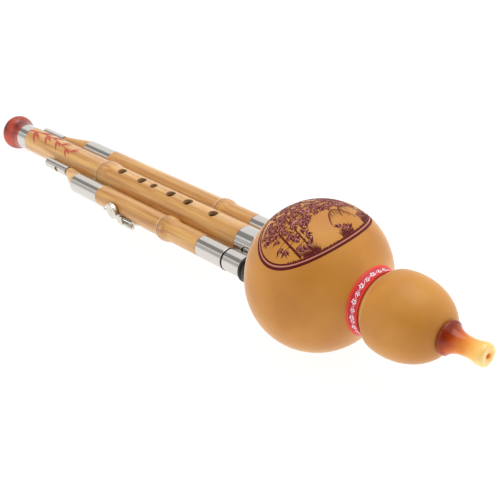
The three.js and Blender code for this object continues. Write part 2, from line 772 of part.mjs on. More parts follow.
function keyBase() {
  const inner = droneRadius + clearance;
  const outer = inner + saddleWall;
  const shape = new THREE.Shape();
  shape.absarc(0, 0, outer, Math.PI + saddleStartAngle, Math.PI + saddleEndAngle, false);
  shape.absarc(0, 0, inner, Math.PI + saddleEndAngle, Math.PI + saddleStartAngle, true);
  const saddle = new THREE.ExtrudeGeometry(shape, {
    depth: saddleEnd - saddleStart,
    bevelEnabled: false,
    curveSegments: saddleSteps,
  });
  saddle.rotateY(Math.PI / 2);
  saddle.rotateX(Math.PI / 2);
  saddle.translate(saddleStart, 0, 0);
  const posts = [saddleStart, saddleEnd - knuckleLength].map((place) => {
    const knuckle = rod(place, place + knuckleLength, knuckleRadius, smallSides)
      .translate([0, hingeY, hingeZ]);
    const middle = place + knuckleLength / 2;
    const leg = rodBetween(
      keySide(middle, inner + saddleWall / 2, hingeAngle),
      at(middle, hingeY, hingeZ), knuckleLength / 2, smallSides);
    return join(knuckle, leg);
  });
  const pinHoles = rod(saddleStart - overrun, saddleEnd + overrun, pinHole, smallSides)
    .translate([0, hingeY, hingeZ]);
  const screwHoles = screwPlaces().map((place) => rodBetween(
    keySide(place, droneRadius, screwAngle),
    keySide(place, outer + overrun, screwAngle), screwRadius + clearance, smallSides));
  return cut(join(solidOf(saddle), ...posts), pinHoles, ...screwHoles);
}

function keyPin() {
  const shaft = rod(saddleStart, saddleEnd + clearance, pinRadius, smallSides);
  const head = rod(saddleEnd + clearance, saddleEnd + clearance + pinHeadLength, knuckleRadius, smallSides);
  return join(shaft, head).translate([0, hingeY, hingeZ]);
}

function keyCup() {
  const centre = (distance) => at(keyPlace, -distance, 0);
  const plate = rodBetween(centre(cupInner), centre(cupOuter), keyCupRadius, pipeSides);
  const skirtEnd = cupInner - keySkirtLength;
  const skirt = cut(
    rodBetween(centre(skirtEnd), centre(cupOuter), keyCupRadius, pipeSides),
    rodBetween(centre(skirtEnd - overrun), centre(cupInner), keyCupRadius - keySkirtWall, pipeSides));
  const knobPlace = keyPlace - keyCupRadius - knobRadius;
  const knob = rodBetween(at(knobPlace, -cupInner, 0), at(knobPlace, -cupOuter, 0), knobRadius, smallSides);
  const neck = block(
    at(knobPlace, -cupOuter, -knobNeckWidth / 2),
    at(keyPlace - keyCupRadius + knobNeckWidth, -cupInner, knobNeckWidth / 2));
  const armEnd = barrelStart + armWidth;
  const armBottom = hingeZ + armRise;
  const bar = block(at(keyPlace, -cupOuter, armBottom), at(armEnd, -cupInner, armBottom + armWidth));
  const drop = block(at(barrelStart, -cupOuter, hingeZ), at(armEnd, -cupInner, armBottom + armWidth));
  const link = block(
    at(barrelStart, -cupOuter, hingeZ - knuckleRadius / 2),
    at(armEnd, hingeY, hingeZ + knuckleRadius / 2));
  const barrel = rod(barrelStart, barrelEnd, knuckleRadius, smallSides).translate([0, hingeY, hingeZ]);
  const pinBore = rod(barrelStart - overrun, barrelEnd + overrun, pinHole, smallSides)
    .translate([0, hingeY, hingeZ]);
  return cut(join(plate, skirt, knob, neck, bar, drop, link, barrel), pinBore);
}

function keyPad() {
  return rodBetween(
    at(keyPlace, -padInner, 0), at(keyPlace, -padInner - keyPadThickness, 0), padRadius, smallSides);
}

function keyScrew(place) {
  const outer = droneRadius + 2 * clearance + saddleWall;
  const shaft = rodBetween(
    keySide(place, droneRadius - screwDepth, screwAngle),
    keySide(place, outer + clearance, screwAngle), screwRadius, smallSides);
  const head = rodBetween(
    keySide(place, outer, screwAngle),
    keySide(place, outer + screwHeadLength, screwAngle), screwHeadRadius, smallSides);
  return join(shaft, head);
}

function addKey(group) {
  addPiece(group, "key_saddle", keyBase(), steel);
  addPiece(group, "key_hinge_pin", keyPin(), steel);
  addPiece(group, "key_cup", keyCup(), steel);
  addPiece(group, "key_pad", keyPad(), leather);
  screwPlaces().forEach((place, number) => {
    addPiece(group, `key_saddle_screw_${number + 1}`, keyScrew(place), steel);
  });
}

// The instrument, built straight
const nearDrone = {
  name: "near_drone",
  side: -1,
  keyed: true,
  pipeLength: nearPipeLength,
  upperFerruleLength: nearUpperFerruleLength,
  nodePlaceShare: nearNodePlaceShare,
  coneLength: nearConeLength,
};
const farDrone = {
  name: "far_drone",
  side: 1,
  keyed: false,
  pipeLength: farPipeLength,
  upperFerruleLength: farUpperFerruleLength,
  nodePlaceShare: farNodePlaceShare,
  coneLength: farConeLength,
};

addGourd(instrument);
addMelodyPipe(instrument);
addMainSocket(instrument);
for (const drone of [nearDrone, farDrone]) {
  const beside = new THREE.Group();
  beside.position.set(0, drone.side * droneSpread, -droneDrop);
  addDrone(beside, drone);
  addDroneSocket(beside, drone.name, drone.side);
  if (drone.keyed) addKey(beside);
  instrument.add(beside);
}

// Tilt at which the bell's rim and the big lobe touch the same floor
function restingTilt() {
  let tilt = 0;
  for (let i = 0; i < tiltSteps; i += 1) {
    const lobeDepth = Math.hypot(bigLobeRadius * Math.cos(tilt), bigLobeHalfLength * Math.sin(tilt));
    tilt = Math.asin((lobeDepth - bellRimRadius * Math.cos(tilt)) / (bigLobeCentre - bellRimRounding));
  }
  return tilt;
}

instrument.rotation.y = -restingTilt();
const part = new THREE.Group();
part.add(instrument);
part.updateMatrixWorld(true);
const bounds = new THREE.Box3().setFromObject(part, true);
const boxCentre = bounds.getCenter(new THREE.Vector3());
instrument.position.set(-boxCentre.x, -boxCentre.y, -bounds.min.z);

export default part;
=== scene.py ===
"""A hulusi, or gourd flute: its visible surfaces, materials and studio, round a fixed frame."""
import json
import math
import random

import bmesh
import bpy
from bpy.props import FloatProperty, FloatVectorProperty, PointerProperty
from mathutils import Matrix, Vector
from mathutils.geometry import interpolate_bezier


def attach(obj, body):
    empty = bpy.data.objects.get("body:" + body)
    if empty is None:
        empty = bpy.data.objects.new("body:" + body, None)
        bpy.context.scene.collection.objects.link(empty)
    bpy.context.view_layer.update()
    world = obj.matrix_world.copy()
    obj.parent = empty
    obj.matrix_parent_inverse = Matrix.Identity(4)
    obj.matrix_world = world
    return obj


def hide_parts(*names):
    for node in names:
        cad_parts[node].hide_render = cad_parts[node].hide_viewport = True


bl_info = {
    "name": "Gourd Flute",
    "version": (1, 0, 0),
    "blender": (4, 5, 0),
    "location": "View3D > Sidebar > Gourd Flute",
    "description": "Builds a gourd flute with bamboo pipes, metal sockets and a key",
    "category": "Object",
}

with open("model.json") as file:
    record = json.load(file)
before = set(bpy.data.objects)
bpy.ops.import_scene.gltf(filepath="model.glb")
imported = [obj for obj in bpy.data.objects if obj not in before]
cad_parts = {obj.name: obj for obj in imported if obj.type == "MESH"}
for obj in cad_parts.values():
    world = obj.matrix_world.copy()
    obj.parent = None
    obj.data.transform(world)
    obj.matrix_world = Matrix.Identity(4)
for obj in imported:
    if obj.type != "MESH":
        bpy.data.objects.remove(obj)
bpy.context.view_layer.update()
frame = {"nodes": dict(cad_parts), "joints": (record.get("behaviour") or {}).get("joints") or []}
MM = 0.001
# Points of a new mesh that lie nearer than this are one point
MERGE_REACH = 1e-6
# From the end of the near drone's lower ferrule to the middle of the hole under the key
KEY_PLACE = 21.2 * MM


# The pipes' own frame: X along the melody pipe from the bell's mouth, Z towards the finger holes
def joint(name):
    return next(j for j in frame["joints"] if j["name"] == name)


def corners(node, place):
    """The corners of a CAD node, seen from another frame."""
    back = place.inverted()
    return [back @ vertex.co for vertex in frame["nodes"][node].data.vertices]


def pipe_frame():
    along = -Vector(joint("melody_pipe_pull")["axis"]).normalized()
    across = Vector((0, 1, 0))
    turn = Matrix((along, across, along.cross(across))).transposed().to_4x4()
    points = corners("bell", turn)
    start = min(p.x for p in points)
    middle = (max(p.z for p in points) + min(p.z for p in points)) / 2
    return turn @ Matrix.Translation((start, 0, middle))


PIPE = pipe_frame()


def tube_sizes(node):
    """Start, end, inner and outer radius of a tubular CAD node, and the frame of its own axis."""
    points = corners(node, PIPE)
    middle = [(max(p[i] for p in points) + min(p[i] for p in points)) / 2 for i in (1, 2)]
    reach = [math.hypot(p.y - middle[0], p.z - middle[1]) for p in points]
    own = PIPE @ Matrix.Translation((0, *middle))
    return min(p.x for p in points), max(p.x for p in points), min(reach), max(reach), own


NEAR = tube_sizes("near_drone_upper_ferrule")[4]
FAR = tube_sizes("far_drone_upper_ferrule")[4]


# Sizes and colours that a user would change
def length(name, description, millimetres):
    return FloatProperty(name=name, description=description, default=millimetres * MM, min=0,
                         unit="LENGTH", precision=5)


def colour(name, description, text):
    return FloatVectorProperty(name=name, description=description, default=linear(text), size=4,
                               min=0, max=1, subtype="COLOR")


def vector(name, description, default, **kind):
    return FloatVectorProperty(name=name, description=description, default=default, precision=5, **kind)


def linear(text):
    """An sRGB hex colour as linear values with full alpha."""
    parts = [int(text[i:i + 2], 16) / 255 for i in (1, 3, 5)]
    return tuple(p / 12.92 if p <= 0.04045 else ((p + 0.055) / 1.055) ** 2.4 for p in parts) + (1.0,)


class GourdSizes(bpy.types.PropertyGroup):
    lobe_place: length("Big lobe place", "From the bell's mouth to the middle of the big lobe", 317.3)
    lobe_half: length("Big lobe half length", "Half of the big lobe along the pipes", 37.4)
    lobe_radius: length("Big lobe radius", "Radius of the big lobe", 40.3)
    small_gap: length("Lobe distance", "From the big lobe's middle to the small one's", 57.6)
    small_half: length("Small lobe half length", "Half of the small lobe along the pipes", 28.4)
    small_radius: length("Small lobe radius", "Radius of the small lobe", 22.1)
    waist_gap: length("Waist distance", "From the middle of the big lobe to the waist", 41.1)
    waist_radius: length("Waist radius", "Radius of the waist", 16.2)
    neck_radius: length("Neck hole radius", "Radius of the hole for the mouthpiece", 5.1)
    wall: length("Wall", "Thickness of the dried shell", 4)
    skin: colour("Skin", "Colour of the varnished skin", "#cb8b36")
    shade: colour("Skin shade", "Colour of the darker patches", "#bc7b2e")


class PipeSizes(bpy.types.PropertyGroup):
    melody_radius: length("Melody pipe radius", "Outer radius of the melody pipe", 8.75)
    melody_bore: length("Melody bore radius", "Bore of the melody pipe", 6.2)
    melody_node: length("Melody node radius", "Radius of the melody pipe's node", 9.55)
    drone_radius: length("Drone radius", "Outer radius of a drone", 6.5)
    drone_bore: length("Drone bore radius", "Bore of a drone", 3.9)
    drone_node: length("Drone node radius", "Radius of a drone's node", 7.75)
    hole_radius: length("Finger hole radius", "Radius of a finger hole", 3)
    light: colour("Bamboo light", "Colour of the light fibres", "#dba85c")
    dark: colour("Bamboo dark", "Colour of the dark fibres", "#b0702a")
    scar: colour("Bamboo scar", "Colour of the grooves at a node", "#8d5a28")
    cut: colour("Cut bamboo", "Colour of the cut walls of the holes", "#c39a6a")


class StudioSettings(bpy.types.PropertyGroup):
    camera_place: vector("Camera place", "Where the camera stands, in the pipes' frame",
                         (0.645975, -0.281673, 0.287247), unit="LENGTH")
    camera_right: vector("Camera right", "The picture's right, in the pipes' frame",
                         (0.653067, 0.743650, -0.143151), subtype="DIRECTION")
    camera_back: vector("Camera back", "From the scene to the camera, in the pipes' frame",
                        (0.687829, -0.503370, 0.522974), subtype="DIRECTION")
    lens: FloatProperty(name="Lens", description="Focal length in millimetres", default=72, min=1)
    ambient: FloatProperty(name="Ambient", description="Strength of the light from all round",
                           default=0.8, min=0)
    floor: colour("Floor", "Colour of the studio floor", "#f3f3f3")


# Mesh work
def settings(name):
    return getattr(bpy.context.scene, name)


def turned(outline, segments=96, rounding=0):
    """A body turned about X from corners (place, radius), closed on itself unless it ends on the axis."""
    shape = bmesh.new()
    verts = [shape.verts.new((place, 0, radius)) for place, radius in outline]
    for pair in zip(verts, verts[1:]):
        shape.edges.new(pair)
    if outline[0][1] > 0 or outline[-1][1] > 0:
        shape.edges.new((verts[-1], verts[0]))
    if rounding:
        sharp = [v for v in verts if len(v.link_edges) == 2 and v.calc_edge_angle(0) > math.radians(35)]
        bmesh.ops.bevel(shape, geom=sharp, offset=rounding, offset_type="OFFSET", segments=2,
                        profile=0.5, affect="VERTICES", material=-1)
    bmesh.ops.spin(shape, geom=shape.verts[:] + shape.edges[:], cent=(0, 0, 0), axis=(1, 0, 0),
                   angle=math.tau, steps=segments, use_merge=True)
    return shape


def curve(*bezier, steps=12):
    """Points (place, radius) along a chain of Bezier arcs of four points each, without repeats."""
    points = []
    for arc in bezier:
        run = interpolate_bezier(*[Vector((p[0], 0, p[1])) for p in arc], steps)
        points += [(p.x, p.z) for p in run[1 if points else 0:]]
    return points


def tidy(shape):
    """Merges doubles and turns the faces outwards."""
    bmesh.ops.remove_doubles(shape, verts=shape.verts, dist=MERGE_REACH)
    bmesh.ops.recalc_face_normals(shape, faces=shape.faces)


def move(shape, matrix):
    """Moves a whole bmesh."""
    bmesh.ops.transform(shape, matrix=matrix, verts=shape.verts)


def mesh_from(name, shape, materials=()):
    """A mesh of a bmesh, which is freed."""
    mesh = bpy.data.meshes.new(name)
    shape.to_mesh(mesh)
    shape.free()
    for material in materials:
        mesh.materials.append(material)
    return mesh


def smooth(mesh, sharp):
    """Smooth shading but for edges sharper than an angle in degrees."""
    mesh.shade_smooth()
    mesh.set_sharp_from_angle(angle=math.radians(sharp))


def shown(name, data):
    """A new object in the scene."""
    made = bpy.data.objects.new(name, data)
    bpy.context.scene.collection.objects.link(made)
    return made


def piece(name, shape, place, body, materials, replaces=(), sharp=40):
    """Makes an object of a bmesh: in place, smooth but for its sharp edges, riding on its body."""
    move(shape, place)
    tidy(shape)
    mesh = mesh_from(name, shape, materials)
    smooth(mesh, sharp)
    made = shown(name, mesh)
    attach(made, body)
    if replaces:
        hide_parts(*replaces)
    return made


def rod(start, end, radius, segments=32):
    """A bmesh rod between two points."""
    run = Vector(end) - Vector(start)
    turn = run.to_track_quat("Z", "Y").to_matrix().to_4x4()
    place = Matrix.Translation((Vector(start) + Vector(end)) / 2) @ turn
    shape = bmesh.new()
    bmesh.ops.create_cone(shape, cap_ends=True, segments=segments, radius1=radius, radius2=radius,
                          depth=run.length, matrix=place)
    return shape


def merged(*shapes):
    """One bmesh that holds them all."""
    whole = bmesh.new()
    for shape in shapes:
        mesh = mesh_from("part", shape)
        whole.from_mesh(mesh)
        bpy.data.meshes.remove(mesh)
    return whole


def cut(target, shapes, place, material=None, sharp=40):
    """Cuts closed bmeshes out of a piece; the cut walls take their own material."""
    depsgraph = bpy.context.evaluated_depsgraph_get()
    cutters = []
    for shape in shapes:
        move(shape, place)
        tidy(shape)
        cutter = shown("cutter", mesh_from("cutter", shape, [material] if material else ()))
        cutters.append(cutter)
        change = target.modifiers.new("cut", "BOOLEAN")
        change.solver = "EXACT"
        change.operation = "DIFFERENCE"
        change.material_mode = "TRANSFER" if material else "INDEX"
        change.object = cutter
    depsgraph.update()
    result = bpy.data.meshes.new_from_object(target.evaluated_get(depsgraph))
    if not result.polygons:
        raise RuntimeError(f"nothing is left of {target.name}")
    target.modifiers.clear()
    target.data = result
    smooth(result, sharp)
    for cutter in cutters:
        bpy.data.objects.remove(cutter)


# Materials
def add(tree, kind, properties=None, inputs=None):
    """Adds a node; an input takes a value, a socket, or a node's first used output."""
    made = tree.nodes.new(kind)
    for key, value in (properties or {}).items():
        setattr(made, key, value)
    for key, value in (inputs or {}).items():
        if isinstance(value, bpy.types.Node):
            value = next(output for output in value.outputs if output.enabled)
        if isinstance(value, bpy.types.NodeSocket):
            tree.links.new(value, made.inputs[key])
        else:
            made.inputs[key].default_value = value
    return made


def finish(name, **inputs):
    """A material with its shader's plain values set; returns it with its node tree and shader."""
    made = bpy.data.materials.new(name)
    made.use_nodes = True
    shader = made.node_tree.nodes["Principled BSDF"]
    for key, value in inputs.items():
        shader.inputs[key.replace("_", " ").title().replace("Ior", "IOR")].default_value = value
    return made, made.node_tree, shader


def along_pipes(tree):
    """Object coordinates turned into the pipes' frame, so that X runs along the fibres."""
    back = PIPE.inverted()
    coordinates = add(tree, "ShaderNodeTexCoord")
    return add(tree, "ShaderNodeMapping", None, {
        "Vector": coordinates.outputs["Object"],
        "Location": back.to_translation(),
        "Rotation": back.to_euler(),
    })


# Lacquered bamboo: sanded culm under thin lacquer, light tan with fine long fibres and soft blotches
def lacquered_bamboo():
    sizes = settings("hulusi_pipes")
    made, tree, shader = finish("Lacquered bamboo", roughness=0.42, coat_weight=0.7, coat_roughness=0.3,
                                specular_ior_level=0.35, sheen_weight=0.45, sheen_roughness=0.3,
                                sheen_tint=linear("#fff0d8"))
    place = along_pipes(tree)
    # A fibre bundle is about 0.5 mm wide and runs 30 mm or more
    stretched = add(tree, "ShaderNodeMapping", None, {"Vector": place, "Scale": (33, 1900, 1900)})
    fibre = add(tree, "ShaderNodeTexNoise", None,
                {"Vector": stretched, "Scale": 1, "Detail": 4, "Roughness": 0.6})
    # Broad streaks of 3 mm by 60 mm
    wide = add(tree, "ShaderNodeMapping", None, {"Vector": place, "Scale": (16, 320, 320)})
    streak = add(tree, "ShaderNodeTexNoise", None, {"Vector": wide, "Scale": 1, "Detail": 2})
    both = add(tree, "ShaderNodeMath", {"operation": "MULTIPLY"}, {0: fibre, 1: 0.4})
    share = add(tree, "ShaderNodeMath", {"operation": "MULTIPLY_ADD"}, {0: streak, 1: 0.9, 2: both})
    ranged = add(tree, "ShaderNodeMapRange", None, {"Value": share, "From Min": 0.46, "From Max": 0.8})
    wood = add(tree, "ShaderNodeMix", {"data_type": "RGBA"}, {0: ranged, 6: sizes.dark, 7: sizes.light})
    scar = add(tree, "ShaderNodeAttribute", {"attribute_name": "scar"})
    marked = add(tree, "ShaderNodeMix", {"data_type": "RGBA"},
                 {0: scar.outputs["Fac"], 6: wood, 7: sizes.scar})
    tree.links.new(marked.outputs[2], shader.inputs["Base Color"])
    bump = add(tree, "ShaderNodeBump", None, {"Height": fibre, "Strength": 0.12, "Distance": 0.0002})
    tree.links.new(bump.outputs["Normal"], shader.inputs["Normal"])
    return made


# Cut bamboo: bare walls of holes and bores, darker and matt, stained by the drill
def cut_bamboo():
    sizes = settings("hulusi_pipes")
    made, tree, shader = finish("Cut bamboo", roughness=0.8)
    place = along_pipes(tree)
    # Open fibre ends are about 0.3 mm wide; they are drawn at 0.55 mm so that they show
    grain = add(tree, "ShaderNodeTexNoise", None, {"Vector": place, "Scale": 1800, "Detail": 3})
    mixed = add(tree, "ShaderNodeMix", {"data_type": "RGBA"},
                {0: grain, 6: sizes.cut, 7: linear("#9a744a")})
    tree.links.new(mixed.outputs[2], shader.inputs["Base Color"])
    return made


# Varnished gourd: hard waxed skin, evenly tan, with faint cloudy patches and a bloom towards its edges
def gourd_skin():
    sizes = settings("hulusi_gourd")
    made, tree, shader = finish("Varnished gourd", roughness=0.5, coat_weight=0.1, coat_roughness=0.3,
                                specular_ior_level=0.3, sheen_weight=0.6, sheen_roughness=0.3,
                                sheen_tint=linear("#fff0d8"))
    place = along_pipes(tree)
    # Cloudy patches of 20 mm and pores of about 0.6 mm
    cloud = add(tree, "ShaderNodeTexNoise", None,
                {"Vector": place, "Scale": 48, "Detail": 3, "Roughness": 0.45})
    pore = add(tree, "ShaderNodeTexNoise", None, {"Vector": place, "Scale": 1500, "Detail": 2})
    ranged = add(tree, "ShaderNodeMapRange", None, {"Value": cloud, "From Min": 0.35, "From Max": 0.68})
    mixed = add(tree, "ShaderNodeMix", {"data_type": "RGBA"}, {0: ranged, 6: sizes.shade, 7: sizes.skin})
    tree.links.new(mixed.outputs[2], shader.inputs["Base Color"])
    bump = add(tree, "ShaderNodeBump", None, {"Height": pore, "Strength": 0.05, "Distance": 0.0002})
    tree.links.new(bump.outputs["Normal"], shader.inputs["Normal"])
    return made


# Cast resin in agate red: polished, clouded inside, lighter where it is thin
def red_resin():
    made, tree, shader = finish("Agate red resin", roughness=0.3, subsurface_weight=0.15,
                                subsurface_scale=0.004, ior=1.6, sheen_weight=0.25, sheen_roughness=0.3,
                                sheen_tint=linear("#ffe8dc"), subsurface_radius=(1.0, 0.35, 0.2))
    place = along_pipes(tree)
    # Clouds of about 20 mm in the casting
    cloud = add(tree, "ShaderNodeTexNoise", None,
                {"Vector": place, "Scale": 50, "Detail": 1, "Distortion": 0.6})
    ranged = add(tree, "ShaderNodeMapRange", None, {"Value": cloud, "From Min": 0.4, "From Max": 0.62})
    mixed = add(tree, "ShaderNodeMix", {"data_type": "RGBA"},
                {0: ranged, 6: linear("#6e1409"), 7: linear("#bf4226")})
    tree.links.new(mixed.outputs[2], shader.inputs["Base Color"])
    return made


# Cast resin in amber: deep orange at the flange, honey yellow where it thins towards the lip
def amber_resin(start, end):
    made, tree, shader = finish("Amber resin", roughness=0.18, subsurface_weight=0.3,
                                subsurface_scale=0.004, ior=1.5, specular_ior_level=0.35,
                                subsurface_radius=(1.0, 0.6, 0.3))
    place = along_pipes(tree)
    axes = add(tree, "ShaderNodeSeparateXYZ", None, {"Vector": place})
    # Clouds of about 6 mm shift the change of colour along the piece by up to this much
    drift = 6 * MM
    cloud = add(tree, "ShaderNodeTexNoise", None, {"Vector": place, "Scale": 160, "Detail": 2})
    moved = add(tree, "ShaderNodeMath", {"operation": "MULTIPLY_ADD"},
                {0: cloud, 1: drift, 2: axes.outputs["X"]})
    # Painted shade and light: the upper side is drawn darker and the lower side lighter, as if light came
    # up through the resin from below
    painted_underlight = add(tree, "ShaderNodeMath", {"operation": "MULTIPLY_ADD"},
               {0: axes.outputs["Z"], 1: -0.45, 2: moved})
    share = add(tree, "ShaderNodeMapRange", None,
                {"Value": painted_underlight, "From Min": start + drift / 2, "From Max": end + drift / 2})
    ramp = add(tree, "ShaderNodeValToRGB", None, {"Fac": share})
    stops = ramp.color_ramp.elements
    stops[0].color = linear("#872a0c")
    stops[1].color = linear("#ffe29c")
    for at, text in ((0.2, "#bb4c15"), (0.42, "#e2852c"), (0.74, "#fbc061")):
        stops.new(at).color = linear(text)
    # Painted glow: the blow hole and the resin near the axis are coloured light orange, for light that
    # would come to them through the resin
    across = add(tree, "ShaderNodeVectorMath", {"operation": "MULTIPLY"}, {0: place, 1: (0, 1, 1)})
    from_axis = add(tree, "ShaderNodeVectorMath", {"operation": "LENGTH"}, {0: across})
    hole = add(tree, "ShaderNodeMapRange", None,
               {"Value": from_axis.outputs["Value"], "From Min": 3.6 * MM, "From Max": 1.2 * MM})
    painted_glow = add(tree, "ShaderNodeMix", {"data_type": "RGBA"},
                 {0: hole, 6: ramp.outputs["Color"], 7: linear("#ffb45a")})
    tree.links.new(painted_glow.outputs[2], shader.inputs["Base Color"])
    return made


# Stainless steel tube: turned and polished, with the finest drawing lines along it
def polished_steel():
    made, tree, shader = finish("Polished stainless steel", metallic=1, base_color=linear("#d3cec8"))
    place = along_pipes(tree)
    # Drawing lines are about 0.15 mm apart; they are drawn at 0.4 mm so that they show
    stretched = add(tree, "ShaderNodeMapping", None, {"Vector": place, "Scale": (60, 2500, 2500)})
    line = add(tree, "ShaderNodeTexNoise", None, {"Vector": stretched, "Scale": 1, "Detail": 3})
    rough = add(tree, "ShaderNodeMapRange", None, {"Value": line, "To Min": 0.12, "To Max": 0.18})
    tree.links.new(rough.outputs["Result"], shader.inputs["Roughness"])
    bump = add(tree, "ShaderNodeBump", None, {"Height": line, "Strength": 0.006, "Distance": 0.0001})
    tree.links.new(bump.outputs["Normal"], shader.inputs["Normal"])
    return made


# Nickel plate on the key: polished, a little warmer than the steel, with faint handling marks
def nickel_plate():
    made, tree, shader = finish("Nickel plate", metallic=1, base_color=linear("#d9d2c6"))
    place = along_pipes(tree)
    # Handling marks of about 1 mm
    mark = add(tree, "ShaderNodeTexNoise", None, {"Vector": place, "Scale": 900, "Detail": 4})
    rough = add(tree, "ShaderNodeMapRange", None, {"Value": mark, "To Min": 0.08, "To Max": 0.18})
    tree.links.new(rough.outputs["Result"], shader.inputs["Roughness"])
    return made


# Moulded rubber: black, polished by handling, with a fine even grain
def moulded_rubber():
    made, tree, shader = finish("Moulded rubber", roughness=0.34)
    place = along_pipes(tree)
    # The mould's grain is about 0.1 mm; it is drawn at 0.45 mm so that it shows
    grain = add(tree, "ShaderNodeTexNoise", None, {"Vector": place, "Scale": 2200, "Detail": 2})
    mixed = add(tree, "ShaderNodeMix", {"data_type": "RGBA"},
                {0: grain, 6: linear("#060606"), 7: linear("#141414")})
    tree.links.new(mixed.outputs[2], shader.inputs["Base Color"])
    bump = add(tree, "ShaderNodeBump", None, {"Height": grain, "Strength": 0.1, "Distance": 0.0001})
    tree.links.new(bump.outputs["Normal"], shader.inputs["Normal"])
    return made


# Two-tone grained materials: pressed vulcanised fibre, filed brass, tanned leather and brushed paint.
# Scale is grains in a metre; they are drawn 0.4 to 1.1 mm wide, coarser than real, so that they show
def grained(name, dark, light, scale, **inputs):
    made, tree, shader = finish(name, **inputs)
    place = along_pipes(tree)
    grain = add(tree, "ShaderNodeTexNoise", None, {"Vector": place, "Scale": scale, "Detail": 3})
    mixed = add(tree, "ShaderNodeMix", {"data_type": "RGBA"},
                {0: grain, 6: linear(dark), 7: linear(light)})
    tree.links.new(mixed.outputs[2], shader.inputs["Base Color"])
    bump = add(tree, "ShaderNodeBump", None, {"Height": grain, "Strength": 0.08, "Distance": 0.0001})
    tree.links.new(bump.outputs["Normal"], shader.inputs["Normal"])
    return made


STOCK = {}


def library():
    """The materials that several pieces share, made once."""
    if not STOCK:
        STOCK["bamboo"] = lacquered_bamboo()
        STOCK["cut"] = cut_bamboo()
        STOCK["steel"] = polished_steel()
        STOCK["nickel"] = nickel_plate()
        STOCK["rubber"] = moulded_rubber()
        STOCK["fibre"] = grained("Vulcanised fibre", "#17130f", "#2a231c", 1500, roughness=0.7)
        STOCK["brass"] = grained("Filed reed brass", "#b58a3a", "#d6b063", 2600, roughness=0.32,
                                 metallic=1)
        STOCK["leather"] = grained("Pad leather", "#94683a", "#b98a5a", 1700, roughness=0.78)
    return STOCK


# Gourd
def lobe_arc(centre, half, radius, start, end):
    """Bezier points of an arc on a lobe's ellipse; the angle starts on the bell's side."""
    reach = 4 / 3 * math.tan((end - start) / 4)

    def on(angle):
        return Vector((centre - half * math.cos(angle), radius * math.sin(angle)))

    def along(angle):
        return Vector((half * math.sin(angle), radius * math.cos(angle))) * reach

    return on(start), on(start) + along(start), on(end) - along(end), on(end)


def gourd_arcs(proud=0.0):
    """The gourd's side as a chain of Bezier arcs, moved outwards by proud."""
    sizes = settings("hulusi_gourd")
    big = (sizes.lobe_place, sizes.lobe_half + proud, sizes.lobe_radius + proud)
    small = (sizes.lobe_place + sizes.small_gap, sizes.small_half + proud, sizes.small_radius + proud)
    quarter = math.pi / 2
    rise = lobe_arc(*big, 0, quarter)
    fall = lobe_arc(*big, quarter, math.radians(140))
    swell = lobe_arc(*small, math.radians(76), quarter)
    close = lobe_arc(*small, quarter, math.radians(159.5))
    waist = Vector((sizes.lobe_place + sizes.waist_gap, sizes.waist_radius + proud))
    level = Vector((5 * MM, 0))
    leave = fall[3] + (fall[3] - fall[2]).normalized() * 6 * MM
    arrive = swell[0] - (swell[1] - swell[0]).normalized() * 5 * MM
    into = (fall[3], leave, waist - level, waist)
    out = (waist, waist + level, arrive, swell[0])
    return [rise, fall, into, out, swell, close]


class HULUSI_OT_gourd(bpy.types.Operator):
    """Dried bottle gourd with its holes for the pipes and the mouthpiece"""
    bl_idname = "hulusi.gourd"
    bl_label = "Gourd"

    def execute(self, context):
        sizes = context.scene.hulusi_gourd
        outline = curve(*gourd_arcs(), steps=18)
        shape = bmesh.new()
        verts = [shape.verts.new((place, 0, max(radius, 0))) for place, radius in outline]
        verts.append(shape.verts.new((outline[-1][0], 0, sizes.neck_radius)))
        for pair in zip(verts, verts[1:]):
            shape.edges.new(pair)
        bmesh.ops.spin(shape, geom=shape.verts[:] + shape.edges[:], cent=(0, 0, 0), axis=(1, 0, 0),
                       angle=math.tau, steps=144, use_merge=True)
        tidy(shape)
        if sum(face.normal.dot(face.calc_center_median() - Vector((sizes.lobe_place, 0, 0)))
               for face in shape.faces) < 0:
            bmesh.ops.reverse_faces(shape, faces=shape.faces)
        bmesh.ops.solidify(shape, geom=shape.faces, thickness=sizes.wall)
        skin = gourd_skin()
        gourd = piece("gourd_skin", shape, PIPE, "root", [skin], ["gourd_shell"])
        holes = []
        for node, place, radius in (("main_socket", PIPE, 8.4), ("near_drone_grommet", NEAR, 6.5),
                                    ("far_drone_grommet", FAR, 6.5)):
            outside = tube_sizes(node)[0] - 2 * MM
            hole = rod((outside, 0, 0), (sizes.lobe_place, 0, 0), radius * MM, 64)
            move(hole, PIPE.inverted() @ place)
            holes.append(hole)
        cut(gourd, holes, PIPE)
        return {"FINISHED"}


class HULUSI_OT_waist_band(bpy.types.Operator):
    """Woven red ribbon with small flowers, glued round the waist"""
    bl_idname = "hulusi.waist_band"
    bl_label = "Waist band"

    def execute(self, context):
        start, end = tube_sizes("waist_ribbon")[:2]
        under, over, selvedge = 0.3 * MM, 0.95 * MM, 0.28 * MM
        inner, outer = ([p for p in curve(*gourd_arcs(proud), steps=60) if start <= p[0] <= end]
                        for proud in (under, over))
        raised = (0, 1, len(outer) - 2, len(outer) - 1)
        outer = [(p[0], p[1] + (selvedge if i in raised else 0)) for i, p in enumerate(outer)]
        shape = turned(inner + outer[::-1], 160)
        band = piece("waist_ribbon_woven", shape, PIPE, "root", [woven_ribbon()],
                     ["waist_ribbon"])
        wrap_uv(band, (start + end) / 2)
        return {"FINISHED"}


